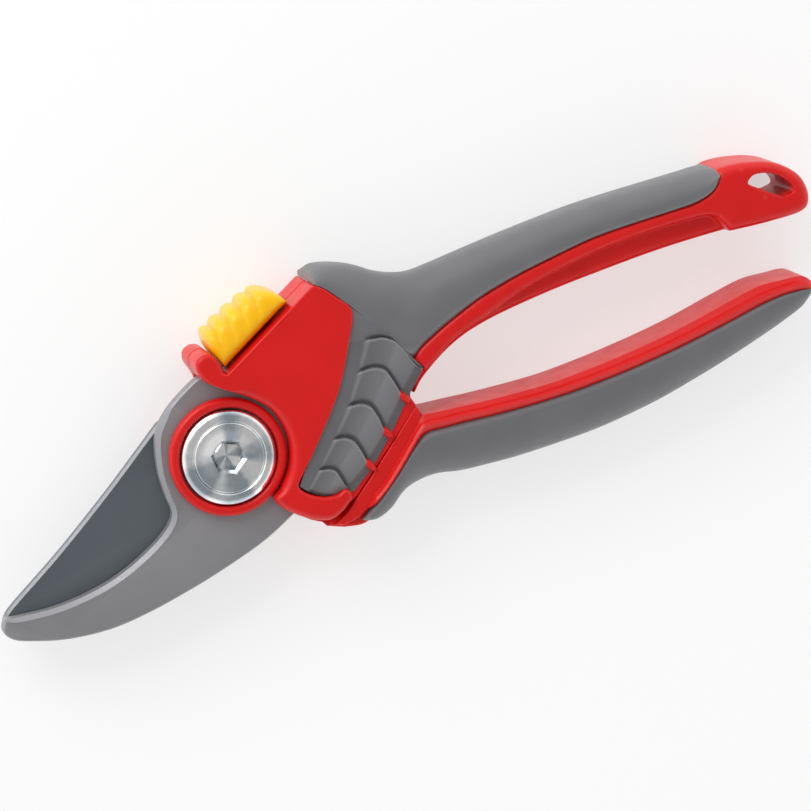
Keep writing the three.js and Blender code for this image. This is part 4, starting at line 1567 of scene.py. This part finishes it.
@dataclass
class HiddenParts:
    """The frame's own small pieces that stay as they are, in a proper finish."""

    finishes: dict[str, Finish] = field(default_factory=lambda: {
        "pivot_bush": ZINC_STEEL,
        "stop_pin": ZINC_STEEL,
        "hook_rivet_1": ZINC_STEEL,
        "hook_rivet_2": ZINC_STEEL,
        "lock_latch": ZINC_STEEL,
        "lock_latch_pin": ZINC_STEEL,
        "lock_detent_spring": SPRING_STEEL,
        "return_spring": SPRING_STEEL,
    })

    def build(self) -> None:
        """Puts the finish in each node's material slots."""
        for name, finish in self.finishes.items():
            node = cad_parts[name]
            node.data.materials.clear()
            node.data.materials.append(finish.material())
            log.info("%s keeps its own shape", name)


@dataclass
class Studio:
    """The floor, the lights and the camera."""

    camera_place: tuple[float, float, float] = (-0.12043, 0.26612, 1.09743)
    camera_target: tuple[float, float, float] = (0.04319, -0.00825, 0.015)
    camera_up: tuple[float, float, float] = (0.4431, 0.8827, -0.1568)
    focal_length: float = 213.07
    sensor: float = 36.0
    low_light: float = 1.35
    overhead_light: float = 0.42
    fade: tuple[float, float] = (0.25, 0.85)
    floor_drop: float = 0.00005

    def build(self) -> None:
        """Makes the studio round the shears."""
        self._floor()
        self._world()
        self._light("key", (-0.25, 0.85, 0.55), 0.6, 4.5)
        self._camera()

    def _floor(self) -> None:
        """A plain pale light table that the shears lie on."""
        bm = bmesh.new()
        sunk = Matrix.Translation((0, 0, -self.floor_drop))
        bmesh.ops.create_grid(bm, x_segments=8, y_segments=8, size=1.6, matrix=sunk)
        floor = new_object("floor", bm)
        paint = bpy.data.materials.new("pale_floor")
        paint.use_nodes = True
        fed(paint.node_tree, paint.node_tree.nodes["Principled BSDF"], {
            "Base Color": (0.42, 0.42, 0.42, 1),
            "Emission Color": (1.0, 1.0, 1.0, 1),
            "Emission Strength": 0.58,
            "Roughness": 0.85,
        })
        floor.data.materials.append(paint)

    def _world(self) -> None:
        """Even light that is bright low down all round and dimmer overhead."""
        world = bpy.data.worlds.new("studio")
        world.use_nodes = True
        tree = world.node_tree
        direction = wired(tree, "ShaderNodeTexCoord", {}).outputs["Generated"]
        upward = wired(tree, "ShaderNodeSeparateXYZ", {"Vector": direction}).outputs["Z"]
        strength = spread(tree, upward, *self.fade, self.low_light, self.overhead_light)
        fed(tree, tree.nodes["Background"], {"Color": (1.0, 1.0, 1.0, 1), "Strength": strength})
        bpy.context.scene.world = world
        bpy.context.scene.view_settings.view_transform = "Standard"

    def _light(self, name: str, place: tuple[float, float, float], size: float, power: float) -> None:
        """One square soft light, aimed at the shears.

        Args:
            name: the light's name.
            place: where it stands, in metres.
            size: the side of its square.
            power: its power in watts.
        """
        lamp = bpy.data.lights.new(name, "AREA")
        lamp.size = size
        lamp.energy = power
        holder = bpy.data.objects.new(name, lamp)
        aim = Vector((0.045, 0, 0.01)) - Vector(place)
        holder.rotation_euler = aim.to_track_quat("-Z", "Y").to_euler()
        holder.location = place
        bpy.context.scene.collection.objects.link(holder)

    def _camera(self) -> None:
        """The camera, turned so that the jaws point to the lower left."""
        lens = bpy.data.cameras.new("view")
        lens.lens = self.focal_length
        lens.sensor_width = self.sensor
        lens.clip_start = 0.05
        camera = bpy.data.objects.new("view", lens)
        back = (Vector(self.camera_place) - Vector(self.camera_target)).normalized()
        right = Vector(self.camera_up).cross(back).normalized()
        up = back.cross(right)
        turn = Matrix((right, up, back)).transposed().to_4x4()
        camera.matrix_world = Matrix.Translation(self.camera_place) @ turn
        bpy.context.scene.collection.objects.link(camera)
        bpy.context.scene.camera = camera


def main() -> None:
    """Builds the studio and every sub-assembly."""
    logging.basicConfig(level=logging.INFO, format="%(name)s: %(message)s")
    Studio().build()
    for part in (Jaws(), Pivot(), UpperLever(), LowerLever(), Lock(), HiddenParts()):
        part.build()


if __name__ == "__main__":
    main()
